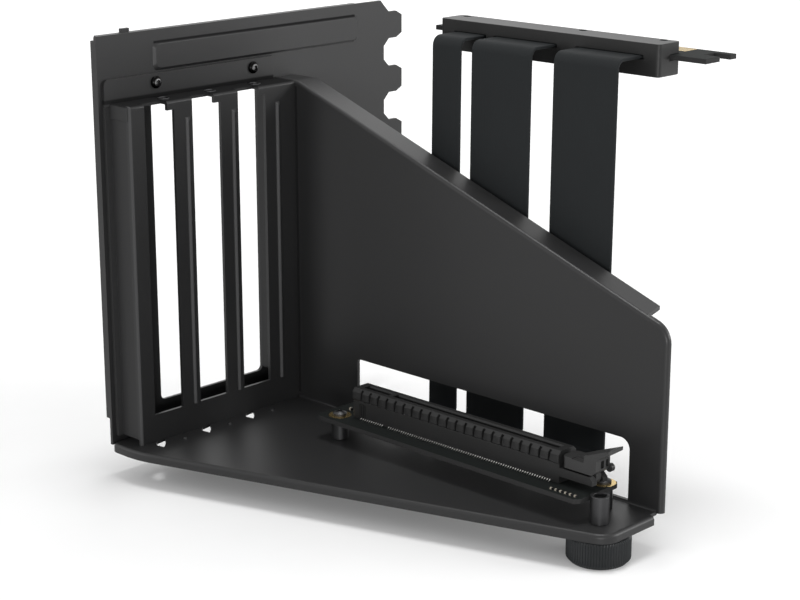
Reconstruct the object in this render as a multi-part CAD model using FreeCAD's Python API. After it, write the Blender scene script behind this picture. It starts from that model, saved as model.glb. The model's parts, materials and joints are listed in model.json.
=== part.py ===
import FreeCAD, Part
import math
import os

# Vertical graphics card bracket with a riser cable, sizes in millimetres.
# Working datum: X runs from the rear plate along the main panel, Y points
# away from the card side of that panel, Z is up from the top of the base.
# The saved parts are moved so that the origin is under the middle of the part.

# Sheet metal
sheet = 1.2
fold_inside = 0.8
edge_round = 1.0
slot_pitch = 20.32
slot_width = 12.5
slot_count = 3

# Slot bracket
bracket_depth = 10.8
bracket_height = 116.4
strip_width = 14.0
side_face_width = 6.4
slot_foot = 9.6
rib_width = 1.9
rib_height = 0.7
rib_from_slot = 5.6
rib_top_margin = 6.5
side_wall_foot = 2.0
side_wall_head_gap = 3.2
back_flange_height = 8.0
back_flange_lap = 2.2
ledge_hole_radius = 1.6
ledge_hole_setback = 5.4
ledge_tab_width = 2.9
ledge_cut = 3.4
ledge_tab_drop = 1.9

# Rear plate
plate_head_margin = 4.0
plate_lap = 3.9
plate_valley = 55.9
plate_drop = 1.2
plate_return = 2.9
plate_return_foot = 8.1
plate_return_reach = 42.1
tongue_reach = 9.6
tongue_tip_height = 6.7
tongue_neck_height = 9.9
tongue_head_margin = 9.4
tongue_foot_margin = 16.0
valley_chamfer = 2.7
opening_margin = 8.2
opening_width = 47.4
opening_foot = 9.7
opening_head_gap = 1.4
opening_round = 2.0
emboss_gap = 0.5
emboss_height = 9.7
emboss_left = 54.2
emboss_length = 96.0
emboss_depth = 0.9
emboss_wall = 0.9
emboss_round = 2.0
hook_width = 3.4
hook_height = 1.3
hook_from_edge = 11.8
plate_foot_right = 14.0
plate_corner = 0.5

# Riser board and its seat on the base
board_left_gap = 36.0
board_back_gap = 4.5
board_width = 21.5
board_thickness = 1.6
board_height = 6.6
board_corner = 2.5
board_hole_radius = 1.6
post_radius = 2.9
post_spigot_radius = 2.0
press_gap = 0.03
pad_radius = 3.9
pad_thickness = 0.08
board_screw_head = 2.4
post_hole_depth = 5.0
board_screw_length = 5.5
chip_count = 6
chip_pitch = 1.9
chip_length = 1.3
chip_width = 0.75
chip_height = 0.6
chip_from_right = 12.5
chip_from_front = 1.6
wide_chip_count = 2
wide_chip_pitch = 2.2
wide_chip_length = 1.5
wide_chip_width = 1.0
wide_chip_height = 0.9
wide_chip_lead = 1.6
wide_chip_from_post = 5.6
left_post_inset = 6.2
left_post_back = 16.0
right_post_inset = 3.6
right_post_back = 3.8

# Card-edge socket
socket_setback = 11.2
socket_from_board_front = 11.0
socket_length = 90.4
socket_wall_width = 7.6
socket_band_width = 8.6
socket_top_width = 6.2
socket_height = 10.6
socket_band_foot = 6.4
socket_band_height = 3.0
card_slot_width = 2.0
card_slot_depth = 8.4
card_slot_lead = 0.5
contact_pitch = 1.0
contacts_before_key = 11
contacts_after_key = 71
key_gap = 3.0
contact_inset = 3.9
contact_width = 0.36
contact_reach = 0.9
contact_height = 0.4
groove_count = 22
groove_width = 0.7
groove_depth = 0.5
groove_inset = 4.0

# Socket latch
arm_length = 13.0
arm_foot = 2.4
arm_top = 5.2
latch_gap = 0.5
latch_pivot_inset = 1.9
latch_pivot_height = 3.8
latch_lug_radius = 1.35
latch_lug_width = 2.4
latch_side_gap = 0.25
latch_pin_radius = 0.7
latch_pin_reach = 1.2
running_gap = 0.06
latch_length = 13.5
latch_head_height = 9.4
latch_head_length = 3.9
latch_head_round = 1.8
latch_notch_length = 4.8
latch_notch_depth = 1.8
latch_notch_width = 2.6
latch_crown_height = 12.5
latch_crown_setback = 2.1
latch_end_height = 10.8
latch_tail_rise = 15.2
latch_tail_reach = 18.8
latch_tail_thickness = 1.2
latch_width = 7.0
latch_recess_widths = [1.5, 1.2]
latch_recess_lefts = [2.5, 5.0]
latch_recess_depth = 1.4
latch_ear_radius = 1.3
latch_ear_reach = 1.0

# Ribbon cables
ribbon_thickness = 1.0
ribbon_setback = 14.0
ribbon_low_radius = 3.2
ribbon_high_radius = 2.9
ribbon_widths = [12.7, 25.5, 25.5]
ribbon_gaps = [4.8, 9.2]
ribbon_from_socket = 5.9
ribbon_lap = 8.0
ribbon_height = 135.7

# Plug head
plug_front = 25.3
plug_depth = 11.1
plug_foot = 5.9
plug_head = 4.5
plug_left_margin = 7.1
plug_right_margin = 6.9
plug_round = 1.4
ribbon_slot_gap = 0.15
ribbon_side_gap = 0.7
plug_board_front = 5.7
plug_board_reach = 22.1
plug_board_thickness = 1.6
plug_board_gap = 0.06
plug_board_left = 7.5
plug_board_step = 3.3
plug_board_right = 13.4
hook_notch_width = 5.6
hook_notch_depth = 6.0
hook_lip = 3.3
finger_width = 0.7
finger_length = 7.0
finger_thickness = 0.06
finger_setback = 0.6
finger_inset = 7.5
plug_screw_radius = 1.3
plug_screw_depth = 3.0
plug_screw_sink = 0.2
plug_screw_setback = 1.9
plug_screw_left = 3.9
plug_screw_right = 5.2

# Base tray, main panel and foot
rim_depth = 3.0
tray_left_lap = 1.0
tray_left_run = 14.0
tray_front_right = 26.5
tray_right_round = 7.0
tray_left_round = 36.0
tray_rear_round = 3.0
panel_flange = 9.7
panel_slope = 0.3537
panel_right_round = 7.0
edge_return = 2.0
flange_end_gap = 10.4
flange_end_slant = 1.7
notch_width = 1.0
relief_width = 1.8
relief_length = 3.4
edge_drop = 0.5
window_left_lap = 5.7
window_right_lap = 0.3
window_head = 21.0
window_round = 3.6
window_near_round = 1.4
tongue_hole_lead = 2.0
tongue_hole_lap = 2.7
tongue_hole = [0.55, 0.52, 4.12, 1.15, 1.19, 4.22, -2.99, 7.32, -2.38, 3.59]
dimple_radius = 1.4
dimple_height = 0.5
dimple_from_hole = 2.3
dimple_from_slot = 3.3
sleeve_radius = 3.0
sleeve_height = 8.9
sleeve_spigot_radius = 2.7
sleeve_gap = 0.3
foot_from_right = 9.3
foot_from_panel = 19.0
stud_radius = 2.0
stud_top_gap = 1.0
knob_radius = 10.1
knob_height = 10.3
knob_gap = 0.4
knob_socket_depth = 6.0
knob_hub_radius = 5.0
knob_rim_gap = 0.3
knurl_count = 36
knurl_depth = 0.45
knob_round = 1.2

# Fasteners
plate_screw_radius = 1.5
plate_screw_head = 2.1
plate_screw_spacing = 43.4
plate_screw_offset = 10.8
plate_screw_drop = 3.1
screw_head_height = 1.6
screw_gap = 0.05

# Places that follow from the sizes above
bar_width = slot_pitch - slot_width
bracket_width = strip_width + slot_count * slot_width + (slot_count - 1) * bar_width + side_face_width
plate_left = -(bracket_width + plate_lap)
emboss_foot = bracket_height + back_flange_height + emboss_gap
plate_height = emboss_foot + emboss_height + plate_head_margin
opening_head = bracket_height - opening_head_gap
tongue_first = plate_height - tongue_head_margin
tongue_count = int((tongue_first - tongue_foot_margin) / slot_pitch) + 1
tray_left = plate_left - tray_left_lap
board_left = bracket_depth + board_left_gap
board_top = board_height + board_thickness
post_hole_radius = board_hole_radius - 2 * screw_gap
board_back = -board_back_gap
board_front = board_back - board_width
socket_left = board_left + socket_setback
socket_right = socket_left + socket_length
socket_middle = board_front + socket_from_board_front
arm_right = socket_right + arm_length
board_right = arm_right
foot_x = board_right + sleeve_gap + sleeve_radius
foot_y = -foot_from_panel
panel_reach = foot_x + foot_from_right
foot_bottom = -sheet - knob_gap - knob_height
ribbon_left = socket_left + ribbon_from_socket
plug_top = ribbon_height + plug_head
plug_left = ribbon_left - plug_left_margin
plug_right = ribbon_left + sum(ribbon_widths) + sum(ribbon_gaps) + plug_right_margin
origin = FreeCAD.Vector(
    (panel_reach - plate_return) / 2,
    (plate_valley + tongue_reach + tray_left) / 2,
    foot_bottom,
)


def at_z(z):
    return lambda u, v: FreeCAD.Vector(u, v, z)


def at_y(y):
    return lambda u, v: FreeCAD.Vector(u, y, v)


def at_x(x):
    return lambda u, v: FreeCAD.Vector(x, u, v)


def outline(corners, place):
    """A closed face through corners (u, v, radius), with an arc at each rounded one."""
    flat = [FreeCAD.Vector(u, v, 0) for u, v, radius in corners]
    count = len(corners)
    stops = []
    for i, (u, v, radius) in enumerate(corners):
        to_last = (flat[i - 1] - flat[i]).normalize()
        to_next = (flat[(i + 1) % count] - flat[i]).normalize()
        half = to_last.getAngle(to_next) / 2
        reach = radius / math.tan(half)
        inward = (to_last + to_next).normalize()
        middle = flat[i] + inward * (radius / math.sin(half) - radius)
        stops.append((flat[i] + to_last * reach, middle, flat[i] + to_next * reach, radius))
    edges = []
    for i, (first, middle, last, radius) in enumerate(stops):
        if radius > 0:
            arc = [place(p.x, p.y) for p in (first, middle, last)]
            edges.append(Part.Arc(*arc).toShape())
        following = stops[(i + 1) % count][0]
        edges.append(Part.makeLine(place(last.x, last.y), place(following.x, following.y)))
    return Part.Face(Part.Wire(edges))


def sharp(points):
    return [(u, v, 0) for u, v in points]


def box(x0, x1, y0, y1, z0, z1):
    return Part.makeBox(x1 - x0, y1 - y0, z1 - z0, FreeCAD.Vector(x0, y0, z0))


def rounded_box_along_x(x0, x1, y0, y1, z0, z1, radius):
    corners = [(y0, z0, radius), (y1, z0, radius), (y1, z1, radius), (y0, z1, radius)]
    return outline(corners, at_x(x0)).extrude(FreeCAD.Vector(x1 - x0, 0, 0))


def rod(radius, start, length, axis):
    return Part.makeCylinder(radius, length, FreeCAD.Vector(*start), FreeCAD.Vector(*axis))


def fused(shapes):
    whole = shapes[0].fuse(shapes[1:])
    return whole.removeSplitter()


def edges_where(shape, test):
    return [e for e in shape.Edges if all(test(v.Point) for v in e.Vertexes)]


def folded_pan(face, depth, bend, thickness):
    """A sheet over the face with its whole border folded back along depth."""
    level = face.CenterOfMass
    along = FreeCAD.Vector(depth).normalize()

    def on_face(point):
        return abs((point - level).dot(along)) < 1e-6

    outer = face.extrude(depth)
    outer = outer.makeFillet(bend, edges_where(outer, on_face))
    inner_wire = face.OuterWire.makeOffset2D(-thickness)
    inner = Part.Face(inner_wire).extrude(depth)
    inner.translate(along * thickness)
    return outer.cut(inner)


def tray():
    """Base tray with a down-folded rim, open at the panel and at the rear plate."""
    beyond = 30.0
    front = [
        (0, beyond, 0),
        (0, tray_left, tray_rear_round),
        (tray_left_run, tray_left, tray_left_round),
        (panel_reach, -tray_front_right, tray_right_round),
        (panel_reach, beyond, 0),
    ]
    pan = folded_pan(outline(front, at_z(0)), FreeCAD.Vector(0, 0, -rim_depth), edge_round + 0.4, sheet)
    return pan.common(box(0, panel_reach + 1, tray_left - 1, -fold_inside, -rim_depth - 1, 1))


def slope_top(x):
    return bracket_height - panel_slope * (x - bracket_depth - sheet)


def panel():
    """Sloping panel with its top flange and the narrow return down its right edge."""
    beyond = 30.0
    turn = bracket_depth + sheet
    border = [
        (-beyond, -beyond, 0),
        (panel_reach, -beyond, 0),
        (panel_reach, slope_top(panel_reach), panel_right_round),
        (turn, bracket_height, 0),
        (-beyond, bracket_height, 0),
    ]
    pan = folded_pan(outline(border, at_y(0)), FreeCAD.Vector(0, panel_flange, 0), edge_round + 0.4, sheet)
    above_fold = box(0, panel_reach + 1, -1, panel_flange + 1, fold_inside, bracket_height + 1)
    end_left = panel_reach - relief_width
    right_end = box(end_left, panel_reach + 1, -1, panel_flange + 1, -edge_drop, fold_inside + 1)
    pan = pan.common(above_fold.fuse(right_end))
    flange_end = panel_reach - flange_end_gap
    notch_left = flange_end + flange_end_slant
    trim = sharp([
        (flange_end, panel_flange + 1),
        (flange_end, panel_flange),
        (notch_left, sheet),
        (notch_left + notch_width, sheet),
        (notch_left + notch_width, edge_return),
        (panel_reach + 1, edge_return),
        (panel_reach + 1, panel_flange + 1),
    ])
    trim_foot = -edge_drop - 1
    pan = pan.cut(outline(trim, at_z(trim_foot)).extrude(FreeCAD.Vector(0, 0, bracket_height - trim_foot)))
    window_left = board_left - window_left_lap
    window_right = board_right - window_right_lap
    window = [
        (window_left, fold_inside - 1, 0),
        (window_right, fold_inside - 1, 0),
        (window_right, window_head, window_round),
        (window_left, window_head, window_near_round),
    ]
    return pan.cut(outline(window, at_y(-1)).extrude(FreeCAD.Vector(0, sheet + 2, 0)))


def corner_fold():
    """Quarter bend between the base and the panel."""
    centre = FreeCAD.Vector(0, -fold_inside, fold_inside)
    length = panel_reach - relief_width
    along = FreeCAD.Vector(1, 0, 0)
    outer = Part.makeCylinder(fold_inside + sheet, length, centre, along)
    inner = Part.makeCylinder(fold_inside, length, centre, along)
    quarter = box(0, length, -fold_inside, fold_inside + sheet, -sheet - 1, fold_inside)
    return outer.cut(inner).common(quarter)


def main_bracket():
    shape = fused([tray(), corner_fold(), panel()])
    relief_left = panel_reach - relief_width
    relief = box(relief_left, panel_reach + 1, -relief_length, 0, -rim_depth - 1, sheet)
    shape = shape.cut(relief)
    near = bracket_depth + tongue_hole_lead
    for k in range(slot_count):
        left = slot_left(k) - tongue_hole_lap
        hole = sharp([(near + x, left + y) for x, y in zip(tongue_hole[::2], tongue_hole[1::2])])
        shape = shape.cut(outline(hole, at_z(-2 * sheet)).extrude(FreeCAD.Vector(0, 0, 4 * sheet)))
        dimple_y = slot_left(k) + slot_width - dimple_from_slot
        seat = FreeCAD.Vector(near + dimple_from_hole, dimple_y, -sheet / 2)
        shape = shape.fuse(Part.makeCone(dimple_radius, dimple_radius / 2, dimple_height + sheet / 2, seat))
    for x, y in post_places():
        shape = shape.cut(rod(post_spigot_radius + press_gap, (x, y, -2 * sheet), 3 * sheet, (0, 0, 1)))
    sleeve_hole = (foot_x, foot_y, -2 * sheet)
    return shape.cut(rod(sleeve_spigot_radius + press_gap, sleeve_hole, 3 * sheet, (0, 0, 1)))


def slot_left(k):
    """Left side of slot k, counted from the side wall."""
    return -bracket_width + side_face_width + k * slot_pitch


def bracket_ribs():
    """Pressed ribs down the two bars and the strip beside the panel."""
    ribs = []
    for k in range(slot_count):
        middle = slot_left(k) + slot_width + rib_from_slot
        top = bracket_height - rib_top_margin
        centre = FreeCAD.Vector(bracket_depth - rib_width / 2 + rib_height, middle, slot_foot)
        up = FreeCAD.Vector(0, 0, 1)
        bead = Part.makeCylinder(rib_width / 2, top - slot_foot, centre, up)
        inner = bracket_depth - sheet / 2
        outer = bracket_depth + rib_width
        side = sharp([(inner, slot_foot), (outer, slot_foot), (outer, top - 2 * rib_width), (inner, top)])
        keep = outline(side, at_y(-bracket_width)).extrude(FreeCAD.Vector(0, bracket_width, 0))
        ribs.append(bead.common(keep))
    return ribs


def plate_screw_places():
    z = bracket_height + back_flange_height - plate_screw_drop
    return [(-plate_screw_offset - plate_screw_spacing, z), (-plate_screw_offset, z)]


def slot_bracket():
    """Folded bracket that holds the card's own slot plates."""
    face_back = bracket_depth - sheet
    front = box(face_back, bracket_depth, -bracket_width, 0, 0, bracket_height)
    ledge = box(0, bracket_depth, -bracket_width, 0, bracket_height - sheet, bracket_height)
    flange_left = -bracket_width - back_flange_lap
    flange_top = bracket_height + back_flange_height
    flange_corners = [
        (flange_left, bracket_height - sheet, 0),
        (-sheet, bracket_height - sheet, 0),
        (-sheet, flange_top, 0),
        (flange_left, flange_top, 2.0),
    ]
    flange = outline(flange_corners, at_x(0)).extrude(FreeCAD.Vector(sheet, 0, 0))
    wall_top = bracket_height - side_wall_head_gap
    wall = box(0, bracket_depth, -bracket_width, -bracket_width + sheet, side_wall_foot, wall_top)
    lap = box(0, sheet, flange_left, -bracket_width + sheet, side_wall_foot, wall_top)
    shape = fused([front, ledge, flange, wall, lap])
    shape = shape.cut(box(face_back - 1, bracket_depth + 1, -fold_inside, 1, -1, fold_inside))

    def front_fold(point):
        at_front = abs(point.x - bracket_depth) < 1e-6
        at_top = abs(point.z - bracket_height) < 1e-6
        at_side = abs(point.y + bracket_width) < 1e-6
        return at_front and (at_top or at_side)

    folds = [e for e in edges_where(shape, front_fold) if e.Length > sheet]
    shape = shape.makeFillet(edge_round, folds)
    ledge_under = bracket_height - sheet
    for k in range(slot_count):
        left = slot_left(k)
        right = left + slot_width
        slot_top = ledge_under - ledge_tab_drop
        shape = shape.cut(box(face_back - 1, bracket_depth + 1, left, right, slot_foot, slot_top))
        shape = shape.cut(box(bracket_depth - ledge_cut, bracket_depth + 1, left, right - ledge_tab_width,
                              slot_foot, bracket_height + 1))
        hole_x = bracket_depth - ledge_hole_setback
        shape = shape.cut(rod(ledge_hole_radius, (hole_x, right, ledge_under - sheet), 3 * sheet, (0, 0, 1)))
    shape = fused([shape] + bracket_ribs())
    for y, z in plate_screw_places():
        shape = shape.cut(rod(plate_screw_radius + screw_gap, (-1, y, z), 5, (1, 0, 0)))
    return shape


def tongue_border():
    """Right border of the rear plate, from the bottom tongue up to the top corner."""
    points = []
    shoulder = plate_valley + valley_chamfer
    neck = plate_valley + tongue_reach - 3.0
    tip = plate_valley + tongue_reach
    for k in reversed(range(tongue_count)):
        middle = tongue_first - k * slot_pitch
        half_neck = tongue_neck_height / 2
        half_tip = tongue_tip_height / 2
        points.append((plate_valley, middle - half_neck - valley_chamfer))
        points.append((shoulder, middle - half_neck))
        points.append((neck, middle - half_neck))
        points.append((tip, middle - half_tip))
        points.append((tip, middle + half_tip))
        points.append((neck, middle + half_neck))
        points.append((shoulder, middle + half_neck))
        points.append((plate_valley, middle + half_neck + valley_chamfer))
    return points


def emboss(inset, level, drop, r):
    """Long raised panel of the rear plate, tapering to its top face."""
    y0 = -emboss_left
    y1 = y0 + emboss_length
    z0 = emboss_foot
    z1 = emboss_foot + emboss_height
    wires = []
    for step, x in ((inset, level), (inset + emboss_wall, level + drop)):
        corners = [(y0 + step, z0 + step, r), (y1 - step, z0 + step, r)]
        corners += [(y1 - step, z1 - step, r), (y0 + step, z1 - step, r)]
        wires.append(outline(corners, at_x(x)).OuterWire)
    return Part.makeLoft(wires, True, True)


def rear_plate():
    """Pressed plate that closes the back of the case, with a tongue for each slot."""
    corners = sharp([(plate_left, -plate_drop), (plate_foot_right, -plate_drop)])
    corners += sharp(tongue_border())
    corners += sharp([(plate_valley - 1.6, plate_height)])
    corners += [(plate_left, plate_height, plate_corner)]
    plate = outline(corners, at_x(-sheet)).extrude(FreeCAD.Vector(sheet, 0, 0))
    left_return = box(
        -plate_return, -sheet / 2, plate_left, plate_left + sheet, plate_return_foot, plate_height - 1.5
    )
    top_return = box(
        -plate_return, -sheet / 2, plate_left + 1.5, plate_return_reach, plate_height - sheet, plate_height
    )
    shape = fused([plate, left_return, top_return])
    hook_left = plate_left + hook_from_edge
    hook = box(-plate_return, -plate_return + sheet, hook_left, hook_left + hook_width,
               plate_height - sheet, plate_height + hook_height)
    shape = fused([shape, hook, emboss(0, 0, emboss_depth, emboss_round)])
    shape = shape.cut(emboss(sheet, -sheet, emboss_depth, 0))
    opening_left = -opening_margin - opening_width
    opening = rounded_box_along_x(
        -sheet - 1, 1, opening_left, opening_left + opening_width, opening_foot, opening_head, opening_round
    )
    shape = shape.cut(opening)
    for y, z in plate_screw_places():
        shape = shape.cut(rod(plate_screw_radius + screw_gap, (-5, y, z), 10, (1, 0, 0)))
    return shape


def pan_screw(seat, axis, head_radius, shank_radius, shank_length):
    """Screw with a plain round head on its seat and a shank below it."""
    head = rod(head_radius, (0, 0, 0), screw_head_height, (0, 0, 1))
    solid = fused([head, rod(shank_radius, (0, 0, -shank_length), shank_length, (0, 0, 1))])
    solid.Placement = FreeCAD.Placement(
        FreeCAD.Vector(*seat), FreeCAD.Rotation(FreeCAD.Vector(0, 0, 1), FreeCAD.Vector(*axis))
    )
    return solid


def post_places():
    left = (board_left + left_post_inset, board_back - left_post_back)
    right = (board_right - right_post_inset, board_back - right_post_back)
    return [left, right]


def standoff(x, y):
    """Round post pressed into the base, with a blind screw hole on top."""
    post = rod(post_radius, (x, y, 0), board_height, (0, 0, 1))
    spigot = rod(post_spigot_radius, (x, y, -sheet), sheet, (0, 0, 1))
    hole = rod(post_hole_radius, (x, y, board_height - post_hole_depth), post_hole_depth + 1, (0, 0, 1))
    return fused([post, spigot]).cut(hole)


def board_pad(x, y):
    ring = rod(pad_radius, (x, y, board_top), pad_thickness, (0, 0, 1))
    return ring.cut(rod(board_hole_radius, (x, y, board_top - 1), 3, (0, 0, 1)))


def riser_board():
    """Thin board under the socket, on the two posts."""
    r = board_corner
    corners = [
        (board_left, board_front, r),
        (board_right - 1.5, board_front, 0.6),
        (board_right, board_front + 1.5, 0.6),
        (board_right, board_back, r),
        (board_left, board_back, r),
    ]
    board = outline(corners, at_z(board_height)).extrude(FreeCAD.Vector(0, 0, board_thickness))
    for x, y in post_places():
        board = board.cut(rod(board_hole_radius, (x, y, board_height - 1), board_thickness + 2, (0, 0, 1)))
    return board


def board_chips():
    """Small chip capacitors along the front right of the board."""
    chips = []
    for k in range(chip_count):
        x = board_right - chip_from_right + k * chip_pitch
        y = board_front + chip_from_front
        chips.append(box(x, x + chip_length, y, y + chip_width, board_top, board_top + chip_height))
    for k in range(wide_chip_count):
        x = post_places()[0][0] - wide_chip_lead + k * wide_chip_pitch
        y = post_places()[0][1] + wide_chip_from_post
        chips.append(box(x, x + wide_chip_length, y, y + wide_chip_width,
                         board_top, board_top + wide_chip_height))
    return Part.makeCompound(chips)


def contact_places():
    """Distance of each contact from the socket's left end."""
    places = [contact_inset + k * contact_pitch for k in range(contacts_before_key)]
    after = places[-1] + key_gap
    return places + [after + k * contact_pitch for k in range(contacts_after_key)]


def socket_housing():
    """Long moulded socket: waisted walls, a ribbed band, the card slot and the latch arm."""
    half_wall = socket_wall_width / 2
    half_band = socket_band_width / 2
    half_top = socket_top_width / 2
    band_low = board_top + socket_band_foot
    band_high = band_low + socket_band_height
    top = board_top + socket_height
    right_side = [
        (half_wall, board_top),
        (half_wall, band_low),
        (half_band, band_low + half_band - half_wall),
        (half_band, band_high),
        (half_top, top),
    ]
    left_side = [(-y, z) for y, z in reversed(right_side)]
    section = sharp([(socket_middle + y, z) for y, z in right_side + left_side])
    body = outline(section, at_x(socket_left)).extrude(FreeCAD.Vector(socket_length, 0, 0))
    first = socket_left + contact_places()[0] - contact_pitch
    last = socket_left + contact_places()[-1] + contact_pitch
    key_left = socket_left + contact_places()[contacts_before_key - 1] + contact_pitch / 2
    key_right = key_left + key_gap - contact_pitch
    half_slot = card_slot_width / 2
    lead = card_slot_lead
    mouth = sharp([
        (socket_middle - half_slot, top - card_slot_depth),
        (socket_middle + half_slot, top - card_slot_depth),
        (socket_middle + half_slot, top - lead),
        (socket_middle + half_slot + lead, top),
        (socket_middle - half_slot - lead, top),
        (socket_middle - half_slot, top - lead),
    ])
    for x0, x1 in ((first, key_left), (key_right, last)):
        body = body.cut(outline(mouth, at_x(x0)).extrude(FreeCAD.Vector(x1 - x0, 0, 0)))
    step = (socket_length - 2 * groove_inset) / (groove_count - 1)
    grooves = []
    for k in range(groove_count):
        x = socket_left + groove_inset + k * step - groove_width / 2
        for side in (-1, 1):
            face = socket_middle + side * half_band
            inner = face - side * groove_depth
            low, high = min(face + side, inner), max(face + side, inner)
            grooves.append(box(x, x + groove_width, low, high, band_low, band_high))
    body = body.cut(Part.makeCompound(grooves))
    arm = box(socket_right - 1, arm_right, socket_middle - half_wall, socket_middle + half_wall,
              board_top + arm_foot, board_top + arm_top)
    pivot_x, pivot_z = latch_pivot()
    bevel = sharp([
        (arm_right - 1.4, board_top + arm_top),
        (arm_right, board_top + arm_top - 1.4),
        (arm_right + 1, board_top + arm_top + 1),
    ])
    across = FreeCAD.Vector(0, socket_band_width, 0)
    arm = arm.cut(outline(bevel, at_y(socket_middle - half_band)).extrude(across))
    fork_half = latch_lug_width / 2 + latch_side_gap
    fork_left = pivot_x - latch_lug_radius - latch_side_gap - 0.4
    fork = box(fork_left, arm_right + 1, socket_middle - fork_half, socket_middle + fork_half, board_top, top)
    arm = arm.cut(fork)
    pin_reach = fork_half + latch_pin_reach
    pin_hole = rod(latch_pin_radius + running_gap, (pivot_x, socket_middle - pin_reach, pivot_z),
                   2 * pin_reach, (0, 1, 0))
    return fused([body, arm]).cut(pin_hole)


def socket_contacts():
    """Contact tails on the board along both sides of the socket."""
    tails = []
    for place in contact_places():
        x = socket_left + place - contact_width / 2
        for side in (-1, 1):
            wall = socket_middle + side * socket_wall_width / 2
            tip = wall + side * contact_reach
            wedge = sharp([(wall, board_top), (tip, board_top), (wall, board_top + contact_height)])
            tails.append(outline(wedge, at_x(x)).extrude(FreeCAD.Vector(contact_width, 0, 0)))
    return Part.makeCompound(tails)


def latch_pivot():
    return arm_right - latch_pivot_inset, board_top + latch_pivot_height


def socket_latch():
    """Latch that hooks a card: a block above the arm, a lug in its fork and a thumb tail."""
    pivot_x, pivot_z = latch_pivot()
    floor = board_top + arm_top + latch_gap
    left = socket_right + latch_gap
    right = left + latch_length
    half = latch_width / 2
    tail_x = socket_right + latch_tail_reach
    tail_top = board_top + latch_tail_rise
    end_top = board_top + latch_end_height
    head_top = board_top + latch_head_height
    side = sharp([
        (left, floor),
        (right - 1.6, floor),
        (right, floor + 1.4),
        (right, end_top),
        (tail_x, tail_top - latch_tail_thickness),
        (tail_x, tail_top),
        (right - latch_crown_setback, board_top + latch_crown_height),
        (left + latch_head_length, head_top),
        (left, head_top),
    ])
    block = outline(side, at_y(socket_middle - half)).extrude(FreeCAD.Vector(0, 2 * half, 0))
    head_end = edges_where(block, lambda point: abs(point.x - left) < 1e-6)
    block = block.makeFillet(latch_head_round, [e for e in head_end if e.Length < latch_width - 1e-6])
    notch_left = left + latch_head_length
    notch_front = socket_middle - half - 1
    block = block.cut(box(notch_left, notch_left + latch_notch_length, notch_front,
                          notch_front + 1 + latch_notch_width, head_top - latch_notch_depth, tail_top))
    for lead, width in zip(latch_recess_lefts, latch_recess_widths):
        y = socket_middle - half + lead
        recess = box(right - latch_recess_depth, right + 1, y, y + width, floor + 2.0, end_top - 0.6)
        block = block.cut(recess)
    ear_start = (right, socket_middle, floor + latch_ear_radius)
    ear = rod(latch_ear_radius, ear_start, half + latch_ear_reach, (0, 1, 0))
    ear_room = box(left, tail_x, socket_middle + half - 0.5, socket_middle + 2 * half, floor - 1, tail_top)
    block = block.fuse(ear.common(ear_room))
    lug_start = (pivot_x, socket_middle - latch_lug_width / 2, pivot_z)
    lug = rod(latch_lug_radius, lug_start, latch_lug_width, (0, 1, 0))
    web = box(pivot_x - latch_lug_radius, pivot_x + latch_lug_radius, lug_start[1],
              lug_start[1] + latch_lug_width, pivot_z, floor + 0.5)
    pin_half = latch_lug_width / 2 + latch_side_gap + latch_pin_reach - running_gap
    pin = rod(latch_pin_radius, (pivot_x, socket_middle - pin_half, pivot_z), 2 * pin_half, (0, 1, 0))
    return fused([block, lug, web, pin])


def ribbon_places():
    """Left edge and width of each ribbon."""
    places = []
    x = ribbon_left
    for width, gap in zip(ribbon_widths, ribbon_gaps + [0]):
        places.append((x, width))
        x += width + gap
    return places


def ribbon(x, width):
    """Flat cable from under the board, up behind the panel and into the plug head."""
    h = ribbon_thickness / 2
    start = board_back - ribbon_lap
    end = plug_front + plug_board_front
    low = board_height - h
    high = ribbon_height
    r_low, r_high = ribbon_low_radius, ribbon_high_radius
    corners = [
        (start, low - h, 0),
        (ribbon_setback + h, low - h, r_low + h),
        (ribbon_setback + h, high - h, r_high - h),
        (end, high - h, 0),
        (end, high + h, 0),
        (ribbon_setback - h, high + h, r_high + h),
        (ribbon_setback - h, low + h, r_low - h),
        (start, low + h, 0),
    ]
    return outline(corners, at_x(x)).extrude(FreeCAD.Vector(width, 0, 0))


def plug_board_levels():
    return ribbon_height - plug_board_thickness / 2, ribbon_height + plug_board_thickness / 2


def plug_board_face(grow):
    """Outline of the plug board with the hooked end that a socket's latch holds."""
    front = plug_front + plug_board_front - grow
    back = plug_front + plug_board_reach + grow
    left = plug_left - plug_board_left - grow
    right = plug_right + plug_board_right + grow
    lip = back - grow - hook_lip
    notch = lip - hook_notch_width
    depth = right - grow - hook_notch_depth
    step = plug_front + plug_depth + grow
    points = [
        (left, front),
        (right, front),
        (right, notch + grow),
        (depth, notch + grow),
        (depth, lip - grow),
        (right, lip - grow),
        (right, back),
        (plug_left + plug_board_step, back),
        (plug_left + plug_board_step, step),
        (left, step),
    ]
    return outline(sharp(points), at_z(plug_board_levels()[0] - grow))


def plug_board():
    return plug_board_face(0).extrude(FreeCAD.Vector(0, 0, plug_board_thickness))


def plug_fingers():
    """Plated contact fingers on top of the plug board's far edge."""
    fingers = []
    top = plug_board_levels()[1]
    back = plug_front + plug_board_reach - finger_setback
    for place in contact_places():
        x = plug_left + finger_inset + place - contact_inset - finger_width / 2
        fingers.append(box(x, x + finger_width, back - finger_length, back, top, top + finger_thickness))
    return Part.makeCompound(fingers)


def plug_screw_places():
    y = plug_front + plug_depth - plug_screw_setback
    span = plug_right - plug_left
    middle = plug_left + span * 0.592
    return [(plug_left + plug_screw_left, y), (middle, y), (plug_right - plug_screw_right, y)]


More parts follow.
